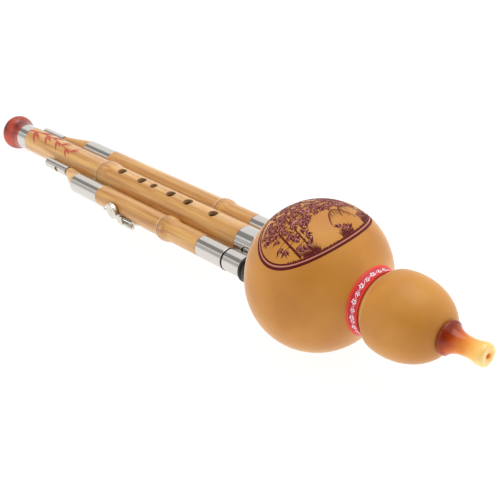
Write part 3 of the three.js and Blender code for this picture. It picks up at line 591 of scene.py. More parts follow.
def wrap_uv(band, middle):
    """UV in millimetres: U round the band, V across it."""
    layer = band.data.uv_layers.new(name="wrap")
    back = PIPE.inverted()
    radius = settings("hulusi_gourd").waist_radius
    for face in band.data.polygons:
        points = [back @ band.data.vertices[i].co for i in face.vertices]
        angles = [math.atan2(p.z, p.y) for p in points]
        if max(angles) - min(angles) > math.pi:
            angles = [a + math.tau if a < 0 else a for a in angles]
        for loop, point, angle in zip(face.loop_indices, points, angles):
            layer.data[loop].uv = (angle * radius / MM, (point.x - middle) / MM)


# Woven ribbon: satin weave with plain bright edges, a crimson middle, a vine and white flowers
def woven_ribbon():
    made, tree, shader = finish("Woven satin ribbon", roughness=0.5, sheen_weight=0.12,
                                sheen_roughness=0.4)
    map_uv = add(tree, "ShaderNodeUVMap", {"uv_map": "wrap"})
    axes = add(tree, "ShaderNodeSeparateXYZ", None, {"Vector": map_uv})
    sums = {"along": axes.outputs["X"], "high": axes.outputs["Y"]}
    steps = [
        # A vine swings 1 mm to each side once in 8 mm
        ("vine turn", "MULTIPLY", "along", math.tau / 8), ("swing", "SINE", "vine turn"),
        ("off vine", "MULTIPLY_ADD", "swing", -0.95, "high"), ("from vine", "ABSOLUTE", "off vine"),
        ("vine", "LESS_THAN", "from vine", 0.17),
        # Dots each 1.3 mm beside the vine
        ("dot turn", "MULTIPLY", "along", math.tau / 1.3), ("dot wave", "SINE", "dot turn"),
        ("dash", "GREATER_THAN", "dot wave", 0.2),
        ("off dots", "MULTIPLY_ADD", "swing", 0.95, "high"), ("from dots", "ABSOLUTE", "off dots"),
        ("beside", "LESS_THAN", "from dots", 0.2), ("dots", "MULTIPLY", "dash", "beside"),
        # The plain edges start 1.95 mm from the middle, with a dark thread along their start
        ("side", "ABSOLUTE", "high"), ("border", "GREATER_THAN", "side", 1.95),
        ("off seam", "SUBTRACT", "side", 2.0), ("from seam", "ABSOLUTE", "off seam"),
        ("seam", "LESS_THAN", "from seam", 0.14),
        # Ribs of the weave are 0.35 mm apart
        ("rib turn", "MULTIPLY", "along", math.tau / 0.35), ("rib", "SINE", "rib turn"),
    ]
    # A flower in each bend of the vine: its place in 8 mm, height, size and petals
    flowers = {"large": (0.25, -0.35, 1.3, 5), "small": (0.75, 0.35, 1.05, 4)}
    for kind, (shift, lift, size, petals) in flowers.items():
        steps += [
            (kind + " place", "MULTIPLY_ADD", "along", 1 / 8, shift),
            (kind + " inside", "FRACT", kind + " place"),
            (kind + " across", "MULTIPLY_ADD", kind + " inside", 8, -4),
            (kind + " up", "SUBTRACT", "high", lift),
            (kind + " up squared", "MULTIPLY", kind + " up", kind + " up"),
            (kind + " squared", "MULTIPLY_ADD", kind + " across", kind + " across", kind + " up squared"),
            (kind + " reach", "SQRT", kind + " squared"),
            (kind + " angle", "ARCTAN2", kind + " up", kind + " across"),
            (kind + " petal turn", "MULTIPLY", kind + " angle", petals),
            (kind + " wave", "COSINE", kind + " petal turn"),
            (kind + " edge", "MULTIPLY_ADD", kind + " wave", size * 0.28, size * 0.78),
            (kind + " bloom", "LESS_THAN", kind + " reach", kind + " edge"),
            (kind + " heart", "LESS_THAN", kind + " reach", size * 0.36),
        ]
    for name, operation, *takes in steps:
        sums[name] = add(tree, "ShaderNodeMath", {"operation": operation},
                         {number: sums.get(value, value) for number, value in enumerate(takes)})
    rib_share = add(tree, "ShaderNodeMapRange", None, {"Value": sums["rib"], "From Min": -1})
    colours = add(tree, "ShaderNodeMix", {"data_type": "RGBA"},
                  {0: rib_share, 6: linear("#b41228"), 7: linear("#cf2438")})
    for name, text in (("dots", "#ee8f9c"), ("vine", "#f3c3cd"), ("large bloom", "#f7e9ee"),
                       ("large heart", "#5e2560"), ("small bloom", "#f7e9ee"), ("small heart", "#5e2560"),
                       ("border", "#ee3824"), ("seam", "#8c0c18")):
        colours = add(tree, "ShaderNodeMix", {"data_type": "RGBA"},
                      {0: sums[name], 6: colours, 7: linear(text)})
    tree.links.new(colours.outputs[2], shader.inputs["Base Color"])
    bump = add(tree, "ShaderNodeBump", None, {"Height": rib_share, "Strength": 0.25, "Distance": 0.0001})
    tree.links.new(bump.outputs["Normal"], shader.inputs["Normal"])
    return made


class HULUSI_OT_mouthpiece(bpy.types.Operator):
    """Amber resin mouthpiece with a flange, a slim throat and a rounded lip"""
    bl_idname = "hulusi.mouthpiece"
    bl_label = "Mouthpiece"

    def execute(self, context):
        tenon, tip, bore = tube_sizes("mouthpiece")[:3]
        start = tip - 22.9 * MM
        arcs = (((0, 8.2), (0, 8.6), (0.2, 8.9), (0.6, 8.9)),
                ((0.6, 8.9), (1.5, 8.9), (1.6, 8.75), (1.9, 8.45)),
                ((1.9, 8.45), (2.4, 7.9), (3.0, 7.4), (4.0, 6.8)),
                ((4.0, 6.8), (5.6, 5.85), (7.6, 5.2), (10.2, 4.95)),
                ((10.2, 4.95), (12, 4.78), (13.6, 4.8), (15.2, 5.0)),
                ((15.2, 5.0), (17.4, 5.25), (18.9, 5.9), (20.9, 5.9)),
                ((20.9, 5.9), (22.2, 5.9), (22.9, 5.3), (22.9, 4.2)))
        side = curve(*[[(start + x * MM, r * MM) for x, r in arc] for arc in arcs])
        plug, throat = 4.8, 1.1
        blow_hole = (0, 1.9), (0.3, 1.5), (0.7, 1.2), (2.2, throat)
        mouth = curve([(tip - x * MM, r * MM) for x, r in blow_hole])
        outline = [(tenon, bore), (tenon, plug * MM), (start, plug * MM), *side, *mouth,
                   (tip - 9 * MM, throat * MM), (tip - 11 * MM, bore)]
        piece("mouthpiece_amber", turned(outline, 96), PIPE, "root",
              [amber_resin(start, tip)], ["mouthpiece"])
        return {"FINISHED"}


class HULUSI_OT_bell(bpy.types.Operator):
    """Red resin bell on the melody pipe's open end"""
    bl_idname = "hulusi.bell"
    bl_label = "Bell"

    def execute(self, context):
        pipes = context.scene.hulusi_pipes
        start, end, bore, rim = tube_sizes("bell")[:4]
        seat, mouth, plug, neck = pipes.melody_radius, 9.2 * MM, 6.9 * MM, start + 15.2 * MM
        # Each corner is its distance from the mouth's plane, a radius, and what is added to that radius
        outside = (((0, mouth, 0.8), (0, rim, -0.6), (0.5, rim, 0), (2.2, rim, 0)),
                   ((2.2, rim, 0), (5.4, rim, 0), (6.8, seat, 1.2), (9.6, seat, 0.5)),
                   ((9.6, seat, 0.5), (11.2, seat, 0), (13, seat, 0), (15.2, seat, 0)))
        inside = (((10.5, bore, 0), (7, bore, 0.4), (3, mouth, -0.4), (0.6, mouth, 0)),)
        outside, inside = (curve(*[[(start + x * MM, radius + more * MM) for x, radius, more in arc]
                                   for arc in side]) for side in (outside, inside))
        outline = [*outside, (neck, plug), (end, plug), (end, bore), *inside, (start, mouth + 0.3 * MM)]
        piece("bell_resin", turned(outline, 112), PIPE, "melody_pipe", [red_resin()],
              ["bell"])
        return {"FINISHED"}


# Bamboo pipes
# Places at a node, as shares of its half length: the faint second line and the bud's scar
NODE_LINE, BUD = 0.31, 0.42


def node_points(place, radius, bulge, half, groove):
    """Outline of a culm's node: a groove, then on the gourd's side the swelling with a faint line."""
    low, worn, floor, dip = bulge - 0.3 * MM, bulge - 0.05 * MM, bulge - groove, bulge - groove * 0.35
    arcs = (((-0.5, radius), (-0.3, radius), (-0.22, low - 0.1 * MM), (-0.1, low)),
            ((-0.1, low), (-0.05, low), (-0.04, floor), (0, floor)),
            ((0, floor), (0.05, floor), (0.05, worn), (0.14, bulge)),
            ((0.14, bulge), (0.22, bulge + 0.03 * MM), (0.27, dip), (NODE_LINE, dip)),
            ((NODE_LINE, dip), (0.35, dip), (0.38, bulge), (0.46, worn)),
            ((0.46, worn), (0.75, bulge - 0.2 * MM), (0.9, radius), (1.35, radius)))
    return curve(*[[(place + share * half, reach) for share, reach in arc] for arc in arcs], steps=9)


def weather(shape, place, half, bud):
    """Makes a node uneven, raises the scar of its bud, and marks both for the colour."""
    scar = shape.verts.layers.float.new("scar")
    reach = half * 1.3

    def fade(distance, width):
        return math.exp(-(distance / (width * MM)) ** 2)

    for vert in shape.verts:
        radius = math.hypot(vert.co.y, vert.co.z)
        angle = math.atan2(vert.co.z, vert.co.y)
        away = vert.co.x - place
        past_bud = away - BUD * half
        round_bud = ((angle - bud + math.pi) % math.tau - math.pi) * radius
        bump = fade(past_bud, 2.0) * fade(round_bud, 1.7)
        rim = fade(math.hypot(past_bud, round_bud) - 2.2 * MM, 0.5)
        groove, stain, line = fade(away, 0.5), fade(away, 3.2), fade(away - NODE_LINE * half, 0.4)
        vert[scar] = 0.8 * groove + 0.16 * stain + 0.4 * line + 0.5 * rim
        if abs(away) < reach:
            nearness = (1 - abs(away) / reach) ** 2
            vert.co.x += 0.5 * MM * nearness * math.sin(angle + 0.6)
            grow = 1 + (0.1 * MM * nearness * math.sin(2 * angle) + 0.7 * MM * bump) / radius
            vert.co.y *= grow
            vert.co.z *= grow


def culm(name, node, body, place, seats, radius, bore, bulge, node_at, node_half, groove, bud):
    """A bamboo pipe turned from its outline; seats are its ferrules' ends and the radii under them."""
    start, end = tube_sizes(node)[:2]
    lower, upper, seat, socket = seats
    low_bore, high_bore = start + 13.3 * MM, end - 16 * MM
    outline = [(start, socket), (start, seat), (lower, seat), (lower, radius)]
    outline += node_points(node_at, radius, bulge, node_half, groove)
    outline += [(upper, radius), (upper, seat), (end, seat), (end, socket)]
    outline += [(high_bore, socket), (high_bore, bore), (low_bore, bore), (low_bore, socket)]
    shape = turned(outline, 112)
    weather(shape, node_at, node_half, bud)
    stock = library()
    return piece(name, shape, place, body, [stock["bamboo"], stock["cut"]], [node], sharp=50)


def darken_bore(pipe, place, radius):
    """Gives the faces of the bore the cut bamboo."""
    back = place.inverted()
    for face in pipe.data.polygons:
        point = back @ face.center
        if math.hypot(point.y, point.z) < radius:
            face.material_index = 1


class HULUSI_OT_melody_pipe(bpy.types.Operator):
    """Melody pipe with six finger holes and a thumb hole"""
    bl_idname = "hulusi.melody_pipe"
    bl_label = "Melody pipe"

    def execute(self, context):
        sizes = context.scene.hulusi_pipes
        start, end = tube_sizes("main_pipe")[:2]
        run = end - start
        bell_end = tube_sizes("main_bell_ferrule")[1]
        top_start = tube_sizes("main_top_ferrule")[0]
        seats = (bell_end + 0.1 * MM, top_start - 0.1 * MM, 7.85 * MM, 7.2 * MM)
        pipe = culm("melody_pipe_bamboo", "main_pipe", "melody_pipe", PIPE, seats,
                    radius=sizes.melody_radius, bore=sizes.melody_bore, bulge=sizes.melody_node,
                    node_at=start + 0.411 * run, node_half=9.5 * MM, groove=0.45 * MM,
                    bud=math.radians(205))
        darken_bore(pipe, PIPE, 7.3 * MM)
        holes = []
        # For each hole, shares of the pipe's length and of the common radius, and its side
        for share, size, side in ((0.4856, 1, 1), (0.5695, 1, 1), (0.6179, 0.783, 1), (0.6866, 1, 1),
                                  (0.7525, 1, 1), (0.8447, 1, 1), (0.8802, 1, -1)):
            holes.append(finger_hole(start + share * run, size * sizes.hole_radius,
                                     side * sizes.melody_radius))
        cut(pipe, holes, PIPE, library()["cut"], sharp=50)
        return {"FINISHED"}


def finger_hole(at, radius, surface):
    """A cutter for one hole, slightly opened at its rim by sanding."""
    side = math.copysign(1, surface)
    top, above, wide = abs(surface), abs(surface) + 2 * MM, radius + 0.75 * MM
    outline = [(0, 0), (0, radius), (top - 0.55 * MM, radius), (top - 0.12 * MM, radius + 0.18 * MM),
               (top + 0.5 * MM, wide), (above, wide), (above, 0)]
    shape = turned(outline, 48)
    move(shape, Matrix.Translation((at, 0, 0)) @ Matrix.Rotation(-side * math.pi / 2, 4, "Y"))
    return shape


class HULUSI_OT_drones(bpy.types.Operator):
    """Both drones' bamboo pipes and the wooden cones at their ends"""
    bl_idname = "hulusi.drones"
    bl_label = "Drones"

    def execute(self, context):
        sizes = context.scene.hulusi_pipes
        stock = library()
        for name, place, share, bud in (("near_drone", NEAR, 0.663, 145), ("far_drone", FAR, 0.793, 330)):
            lower = tube_sizes(name + "_lower_ferrule")[1]
            upper = tube_sizes(name + "_upper_ferrule")[0]
            seats = (lower + 0.1 * MM, upper - 0.1 * MM, 5.6 * MM, 4.8 * MM)
            pipe = culm(name + "_bamboo", name + "_pipe", name, place, seats,
                        radius=sizes.drone_radius, bore=sizes.drone_bore, bulge=sizes.drone_node,
                        node_at=lower + share * (upper - lower), node_half=7.5 * MM,
                        groove=0.4 * MM, bud=math.radians(bud))
            darken_bore(pipe, place, 4.9 * MM)
            if name == "near_drone":
                key_at = lower + KEY_PLACE
                seat = bmesh.new()
                bmesh.ops.create_cube(seat, size=1)
                size = Matrix.Diagonal((10.6 * MM, 3 * MM, 13 * MM, 1))
                move(seat, Matrix.Translation((key_at, -7.5 * MM, 0)) @ size)
                hole = rod((key_at, -9 * MM, 0), (key_at, 0, 0), 1.8 * MM)
                cut(pipe, [seat, hole], place, stock["cut"], sharp=50)
            self.cone(name, place)
        return {"FINISHED"}

    def cone(self, name, place):
        """A leaning cone with its spigot: circles moved sideways by share, then bridged."""
        stock = library()
        sleeve_start, sleeve_end, _, _, sleeve = tube_sizes(name + "_tip_sleeve")
        lean = (place.inverted() @ sleeve).to_translation()
        base = tube_sizes(name + "_lower_ferrule")[0] - 0.3 * MM
        plug_end, tip, spigot_end = base + 13 * MM, sleeve_end + 1.8 * MM, sleeve_start + 6 * MM
        plug, foot, wide, narrow, spigot, bore = 4.4, 5.7, 5.95, 3.4, 2.5, 1.5
        rings = [(plug_end, plug, 0), (base, plug, 0), (base, foot, 0), (base - 0.4 * MM, wide, 0)]
        for step in (0.15, 0.35, 0.55, 0.75, 0.92):
            eased = step * step * (3 - 2 * step) * 0.35 + step * 0.65
            rings.append((base + (tip - base) * step, wide + (narrow - wide) * eased, step))
        rings += [(tip + 0.3 * MM, 3.3, 1), (tip, 3.0, 1), (tip, spigot, 1), (spigot_end, spigot, 1)]
        rings += [(spigot_end, bore, 1), (plug_end, bore, 0)]
        shape = bmesh.new()
        loops = []
        upright = Matrix.Rotation(math.pi / 2, 4, "Y")
        for at, radius, share in rings:
            stand = Matrix.Translation((at, lean.y * share, lean.z * share)) @ upright
            made = bmesh.ops.create_circle(shape, segments=64, radius=radius * MM, matrix=stand)
            loops.append(list({edge for vert in made["verts"] for edge in vert.link_edges}))
        for first, second in zip(loops, loops[1:] + loops[:1]):
            bmesh.ops.bridge_loops(shape, edges=first + second)
        shape.verts.layers.float.new("scar")
        cone = piece(name + "_cone_wood", shape, place, name, [stock["bamboo"], stock["cut"]],
                     [name + "_end_cone"], sharp=50)
        # The spigot takes the darker cut bamboo: it is bare turned wood, and the darker colour is also
        # painted shade in the gap where the cone meets the sleeve
        back = (place @ Matrix.Translation((0, lean.y, lean.z))).inverted()
        for face in cone.data.polygons:
            point = back @ face.center
            if point.x < tip + 0.1 * MM and math.hypot(point.y, point.z) < (spigot + 0.1) * MM:
                face.material_index = 1


# Metal and rubber
class HULUSI_OT_sleeves(bpy.types.Operator):
    """Steel ferrules, tenons and sockets, the dark joint rings and the rubber collars"""
    bl_idname = "hulusi.sleeves"
    bl_label = "Sleeves and rings"

    def execute(self, context):
        stock = library()
        pipes = (("main", "melody_pipe"), ("near_drone", "near_drone"), ("far_drone", "far_drone"))
        for name, body in pipes:
            first, second = ("bell", "top") if name == "main" else ("upper", "lower")
            for kind in (first + "_ferrule", second + "_ferrule", "tenon"):
                self.tube(f"{name}_{kind}", body, "polished_steel", stock["steel"], 0.22 * MM)
        for name, body in pipes:
            self.tube(name + "_joint_ring", body, "dark_ring", stock["fibre"], 0.2 * MM)
        self.sockets()
        return {"FINISHED"}

    def tube(self, node, body, slot, material, rounding):
        start, end, inner, outer, place = tube_sizes(node)
        outline = [(start, inner), (start, outer), (end, outer), (end, inner)]
        piece(node + "_fine", turned(outline, 96, rounding), place, body, [material], [node],
              sharp=12)

    def sockets(self):
        stock = library()
        for name in ("main", "near_drone", "far_drone"):
            start, end, inner, outer, place = tube_sizes(name + "_socket")
            if name == "main":
                shoulder, stem, mouth = start + 7.5 * MM, inner + 0.8 * MM, inner
                inside = [(end, inner)]
            else:
                shoulder, stem, mouth = start + 13.9 * MM, 4.6 * MM, 4.8 * MM
                step = shoulder - 1.2 * MM
                inside = [(end, inner), (step, inner), (step, mouth)]
            outline = [(start, mouth), (start, outer), (shoulder, outer), (shoulder, stem),
                       (end, stem), *inside]
            piece(name + "_socket_fine", turned(outline, 96, 0.2 * MM), place, "root",
                  [stock["steel"]], [name + "_socket"], sharp=12)
            if name != "main":
                self.collar(name, place)

    def collar(self, name, place):
        """A rubber collar with a rounded bead and a groove, cut to lie on the gourd's curve."""
        start, end, inner, outer, _ = tube_sizes(name + "_grommet")
        wide = outer * 1.02
        arcs = (((0, -1.4), (0, -0.6), (0.4, 0), (1.2, 0)),
                ((1.2, 0), (1.9, 0), (2.3, -0.3), (2.5, -0.9)),
                ((2.5, -0.9), (2.9, -0.4), (3.3, -0.1), (3.9, -0.1)))
        side = curve(*[[(start + x * MM, wide + r * MM) for x, r in arc] for arc in arcs])
        outline = [(start, inner), *side, (end, wide - 0.1 * MM), (end, inner)]
        collar = piece(name + "_collar_rubber", turned(outline, 96), place, "root",
                       [library()["rubber"]], [name + "_grommet"])
        lobe = turned([(p[0], max(p[1], 0)) for p in curve(*gourd_arcs(0.1 * MM)[:2])], 96)
        bmesh.ops.holes_fill(lobe, edges=[edge for edge in lobe.edges if edge.is_boundary])
        cut(collar, [lobe], PIPE)


class HULUSI_OT_tip_sleeves(bpy.types.Operator):
    """Steel sleeves with a side hole, which turn on the drones' spigots"""
    bl_idname = "hulusi.tip_sleeves"
    bl_label = "Tip sleeves"

    def execute(self, context):
        stock = library()
        for name, body, side in (("near_drone", "near_sleeve", -1), ("far_drone", "far_sleeve", 1)):
            start, end, inner, outer, place = tube_sizes(name + "_tip_sleeve")
            outline = [(start, inner), (start, outer), (end, outer), (end, inner)]
            sleeve = piece(name + "_tip_sleeve_fine", turned(outline, 80, 0.2 * MM), place, body,
                           [stock["steel"]], [name + "_tip_sleeve"])
            hole_at = start + 14 * MM
            hole = rod((hole_at, 0, 0), (hole_at, side * 6 * MM, 0), 1.9 * MM, 40)
            cut(sleeve, [hole], place, stock["steel"], sharp=12)
        return {"FINISHED"}


class HULUSI_OT_key(bpy.types.Operator):
    """Padded key of the near drone: cup, knob, arm, barrel, saddle, pin and screws"""
    bl_idname = "hulusi.key"
    bl_label = "Key"

    def execute(self, context):
        # Everything here is in millimetres until it is made
        lower = tube_sizes("near_drone_lower_ferrule")[1]
        at = (lower + KEY_PLACE) / MM
        saddle, angle, hinge_reach, saddle_reach = at + 5.3, math.radians(38), 9.5, 7.2
        barrel = saddle + 2.3
        barrel_end = barrel + 8.6
        end = barrel_end + 2.3
        hinge = Vector((0, -hinge_reach * math.cos(angle), -hinge_reach * math.sin(angle)))
        out = Matrix.Rotation(-math.pi / 2, 4, "Z")
        cup = turned([(7.2, 4.5), (7.2, 5), (9.1, 5), (9.35, 4.85), (9.48, 4.3), (9.6, 2.6), (9.5, 2.45),
                      (9.5, 2.3), (9.75, 2.1), (9.9, 1.2), (9.95, 0), (8.2, 0), (8.2, 4.5)], 96)
        knob = turned([(7.9, 0), (7.9, 1), (8.2, 1.4), (9.2, 1.4), (9.55, 1.15), (9.45, 0.75),
                       (9.2, 0)], 48)
        for shape, x in ((cup, at), (knob, at - 6.4)):
            move(shape, Matrix.Translation((x, 0, 0)) @ out)
        neck = slab((at - 5.4, -9.2, -0.6), (at - 4.2, -8.4, 0.6), 0.2)
        arm = slab((at, -9.4, hinge.z + 1.8), (barrel + 3.3, -8.2, hinge.z + 5.1), 0.35)
        drop = slab((barrel, -9.35, hinge.z - 0.6), (barrel + 3.3, -7.7, hinge.z + 2.4), 0.35)
        roll = self.knuckle(barrel, barrel_end, hinge)
        self.make("key_cup", merged(cup, knob, neck, arm, drop, roll), "drone_key")
        plate = bmesh.new()
        stand = Matrix.Translation(((saddle + end) / 2, -saddle_reach, 0))
        bmesh.ops.create_grid(plate, x_segments=1, y_segments=1, size=0.5,
                              matrix=stand @ Matrix.Diagonal((end - saddle, 0.8, 1, 1)))
        bmesh.ops.rotate(plate, verts=plate.verts, matrix=Matrix.Rotation(math.radians(20), 3, "X"))
        bmesh.ops.spin(plate, geom=plate.faces[:], axis=(1, 0, 0), angle=math.radians(60), steps=20)
        posts = [plate]
        for x in (saddle, end - 2):
            foot, head = hinge * (saddle_reach / hinge_reach), hinge * 0.91
            posts.append(self.knuckle(x, x + 2, hinge))
            posts.append(rod((x + 1, foot.y, foot.z), (x + 1, head.y, head.z), 0.9))
        self.make("key_saddle", merged(*posts), "near_drone")
        pin = turned([(saddle - 0.05, 0), (saddle - 0.05, 0.6), (end + 0.3, 0.6), (end + 0.3, 1.45),
                      (end + 0.9, 1.45), (end + 1.25, 0.9), (end + 1.3, 0)], 40)
        move(pin, Matrix.Translation(hinge))
        self.make("key_hinge_pin", pin, "near_drone")
        turn = Matrix.Rotation(math.radians(66), 4, "X") @ out
        for number in (1, 2):
            x = saddle + (end - saddle) * (2 * number - 1) / 4
            screw = turned([(5.2, 0), (5.2, 0.5), (7.75, 0.5), (7.75, 1), (8.1, 0.95), (8.35, 0.6),
                            (8.4, 0)], 32)
            move(screw, Matrix.Translation((x, 0, 0)) @ turn)
            self.make(f"key_saddle_screw_{number}", screw, "near_drone")
        return {"FINISHED"}

    def knuckle(self, start, end, hinge):
        """A tube on the hinge pin."""
        shape = turned([(start, 0.65), (start, 1.5), (end, 1.5), (end, 0.65)], 40, 0.15)
        move(shape, Matrix.Translation(hinge))
        return shape

    def make(self, node, shape, body):
        move(shape, Matrix.Scale(MM, 4))
        piece(node + "_fine", shape, NEAR, body, [library()["nickel"]], [node], sharp=20)


def slab(low, high, rounding):
    """A block with rounded edges between two corners."""
    shape = bmesh.new()
    low, high = Vector(low), Vector(high)
    place = Matrix.Translation((low + high) / 2) @ Matrix.Diagonal((*(high - low), 1))
    bmesh.ops.create_cube(shape, size=1, matrix=place)
    bmesh.ops.bevel(shape, geom=shape.edges[:], offset=rounding, offset_type="OFFSET", segments=3,
                    profile=0.5, affect="EDGES", material=-1)
    return shape


class HULUSI_OT_inner_parts(bpy.types.Operator):
    """Finishes of the reeds, reed tubes and the key's pad, whose CAD shapes stay"""
    bl_idname = "hulusi.inner_parts"
    bl_label = "Inner parts"

    def execute(self, context):
        stock = library()
        looks = {"reed_tube": "bamboo", "reed": "brass", "key_pad": "leather"}
        for node, made in frame["nodes"].items():
            for ending, look in looks.items():
                if node.endswith(ending):
                    made.data.materials.clear()
                    made.data.materials.append(stock[look])
        return {"FINISHED"}


# Painted panel on the gourd
class HULUSI_OT_painting(bpy.types.Operator):
    """Painted oval panel of bamboo, hills and grass on the big lobe, in a double frame"""
    bl_idname = "hulusi.painting"
    bl_label = "Painting"

    def execute(self, context):
        maroon = grained("Maroon lacquer paint", "#4d0a0c", "#641211", 900, roughness=0.6,
                         specular_ior_level=0.2)
        rose = grained("Rose lacquer paint", "#c57a6f", "#d08b7e", 900, roughness=0.6,
                       specular_ior_level=0.2)
        flat, fine = bmesh.new(), bmesh.new()
        half_width, half_height = 33, 23.8
        for drawing, inset, width in ((flat, 0.45, 0.9), (flat, 1.75, 0.55), (fine, 1.2, 0.36)):
            ring(drawing, half_width - inset, half_height - inset, width)
        self.scene(flat, fine, half_width - 2.2, half_height - 2.2)
        self.lay(flat, "painting_maroon", maroon, 0.05 * MM)
        self.lay(fine, "painting_rose", rose, 0.09 * MM)
        return {"FINISHED"}

    def lay(self, flat, name, material, lift):
        """Lays a flat drawing in millimetres, X across and Y towards the pipes, on the big lobe."""
        sizes = settings("hulusi_gourd")
        centre = 318.5 * MM
        for vert in flat.verts:
            across, place = vert.co.x * MM, centre - vert.co.y * MM
            along = (place - sizes.lobe_place) / sizes.lobe_half
            height = math.sqrt(max(sizes.lobe_radius ** 2 * (1 - along * along) - across * across, 0))
            normal = Vector((along / sizes.lobe_half, across / sizes.lobe_radius ** 2,
                             height / sizes.lobe_radius ** 2)).normalized()
            vert.co = Vector((place, across, height)) + normal * lift
        made = piece(name, flat, PIPE, "root", [material])
        up = PIPE.to_3x3() @ Vector((0, 0, 1))
        turned_over = [face.index for face in made.data.polygons if face.normal.dot(up) < 0]
        if turned_over:
            fix = bmesh.new()
            fix.from_mesh(made.data)
            fix.faces.ensure_lookup_table()
            bmesh.ops.reverse_faces(fix, faces=[fix.faces[index] for index in turned_over])
            fix.to_mesh(made.data)
            fix.free()

    def scene(self, flat, fine, wide, high):
        """Draws the panel's picture: flat takes the dark strokes, fine the pale ribs of the leaves."""
        dice = random.Random(11)

        def inside(x, y, margin=0.0):
            return (x / (wide - margin)) ** 2 + (y / (high - margin)) ** 2 < 1

        def edge(x):
            return high * math.sqrt(max(1 - (x / wide) ** 2, 0))

        def leaves(at, side, up=False):
            spray(flat, fine, at, side, dice, inside, up)

        grass(flat, leaves, dice, edge, wide)
        hills(flat, dice)
        bamboo_stalks(flat, leaves, dice, edge, inside)
        boughs(flat, leaves, dice)
        canopy(leaves, dice, edge, wide, high)


# The picture's parts, in millimetres from the panel's middle; edge is the height of its rim at x
def grass(flat, leaves, dice, edge, wide):
    """Grass and low shrubs in patches along the lower rim."""
    tufts = 70
    for step in range(tufts):
        x = -wide * 0.9 + step / (tufts - 1) * wide * 1.8
        low = -edge(x)
        patch = max(math.sin(x * 0.33 + 0.9) + 0.35 * math.sin(x * 1.1), 0)
        stroke(flat, [(x, low - 0.3), (x + dice.uniform(-0.5, 0.5), low + 0.3 + patch)], 0.9, 0.25)
        if patch > 0.2:
            for lean in (-1.0, -0.3, 0.4, 1.1):
                tall = dice.uniform(1.2, 2.2) + 2.0 * patch
                blade = [(x, low), (x + lean * 0.6, low + tall * 0.6), (x + lean * 1.4, low + tall)]
                stroke(flat, blade, 0.38, 0.06)
            if step % 3 == 0:
                leaves((x, low + 2.6 * patch + 1), 1 - step % 2 * 2, up=True)


def hills(flat, dice):
    """Rounded hills with hatching in the middle distance."""
    for left, right, base, top in ((-1, 15, -14.5, -6.5), (8, 24, -12.5, -3.5)):
        crest = [(left + (right - left) * t, base + (top - base) * math.sin(math.pi * t) ** 0.7)
                 for t in [i / 24 for i in range(25)]]
        stroke(flat, crest, 0.45, 0.45)
        for x, y in crest[2:23]:
            deep = dice.uniform(0.25, 0.75) * (y - base)
            stroke(flat, [(x, y - 0.3), (x - 0.5, y - deep * 0.6), (x - 0.3, y - deep)], 0.3, 0.08)


def bamboo_stalks(flat, leaves, dice, edge, inside):
    """Bamboo stalks with joints and hanging leaves."""
    joints = 7
    for foot, lean, tall, thick in ((-23, 6, 27, 1.1), (-17, 5, 25, 0.9), (25.5, -6, 24, 0.9)):
        low = -edge(foot) + 0.3
        ring_half = thick * 0.75
        last = (foot, low)
        for number in range(1, joints + 1):
            t = number / joints
            new = (foot + lean * t * t, low + tall * t)
            if not inside(*new, 0.6):
                break
            width = thick * (1 - 0.3 * t)
            stroke(flat, [(last[0], last[1] + 0.24), (new[0], new[1] - 0.12)], width, width)
            stroke(flat, [(new[0] - ring_half, new[1]), (new[0] + ring_half, new[1])], 0.28, 0.28)
            if number > 1:
                for side in (-1, 1):
                    twig = (new[0] + side * dice.uniform(2.0, 4.5), new[1] + dice.uniform(0.4, 2.0))
                    stroke(flat, [new, twig], 0.3, 0.15)
                    leaves(twig, side)
            last = new


def boughs(flat, leaves, dice):
    """Boughs with separate leaves that hang from the canopy."""
    for x, y in ((-12, 2), (-9, -1), (-4, 3), (-1, 0), (4, 2), (8, -1), (13, -2), (18, -1)):
        for number in range(7):
            spot = (x + dice.gauss(0, 1.7), y + dice.gauss(0, 1.5))
            leaves(spot, dice.choice((-1, 1)))
        stroke(flat, [(x + 3, y + 8), (x + 1, y + 4), (x, y)], 0.5, 0.25)


def canopy(leaves, dice, edge, wide, high):
    """A dense canopy of leaves over the upper half, a spray about every 2.7 mm."""
    pitch = 2.7
    for column in range(20):
        for row in range(9):
            x = pitch * column - wide + dice.uniform(-1.3, 1.3)
            y = high - pitch * row + dice.uniform(-1.3, 1.3)
            low = 6 + 1.8 * math.sin(x * 0.4) - 0.3 * max(x + 4, 0)
            if low < y < edge(x):
                leaves((x, y), dice.choice((-1, 1)))


def ring(flat, half_width, half_height, width):
    """A flat elliptic ring, bridged between two circles."""
    loops = []
    for grow in (-width / 2, width / 2):
        size = Matrix.Diagonal((half_width + grow, half_height + grow, 1, 1))
        made = bmesh.ops.create_circle(flat, segments=128, radius=1, matrix=size)
        loops += list({edge for vert in made["verts"] for edge in vert.link_edges})
    bmesh.ops.bridge_loops(flat, edges=loops)


def stroke(flat, points, start_width, end_width):
    """A brush stroke along points, its width easing from one end to the other."""
    points = [Vector((x, y, 0)) for x, y in points]
    if len(points) == 2 and (points[1] - points[0]).length > 2.5:
        points.insert(1, (points[0] + points[1]) / 2)
    last = None
    for number, point in enumerate(points):
        before, after = points[max(number - 1, 0)], points[min(number + 1, len(points) - 1)]
        run = (after - before).normalized()
        half = (start_width + (end_width - start_width) * number / (len(points) - 1)) / 2
        side = Vector((-run.y, run.x, 0)) * half
        pair = flat.verts.new(point + side), flat.verts.new(point - side)
        if last:
            flat.faces.new((last[0], last[1], pair[1], pair[0]))
        last = pair


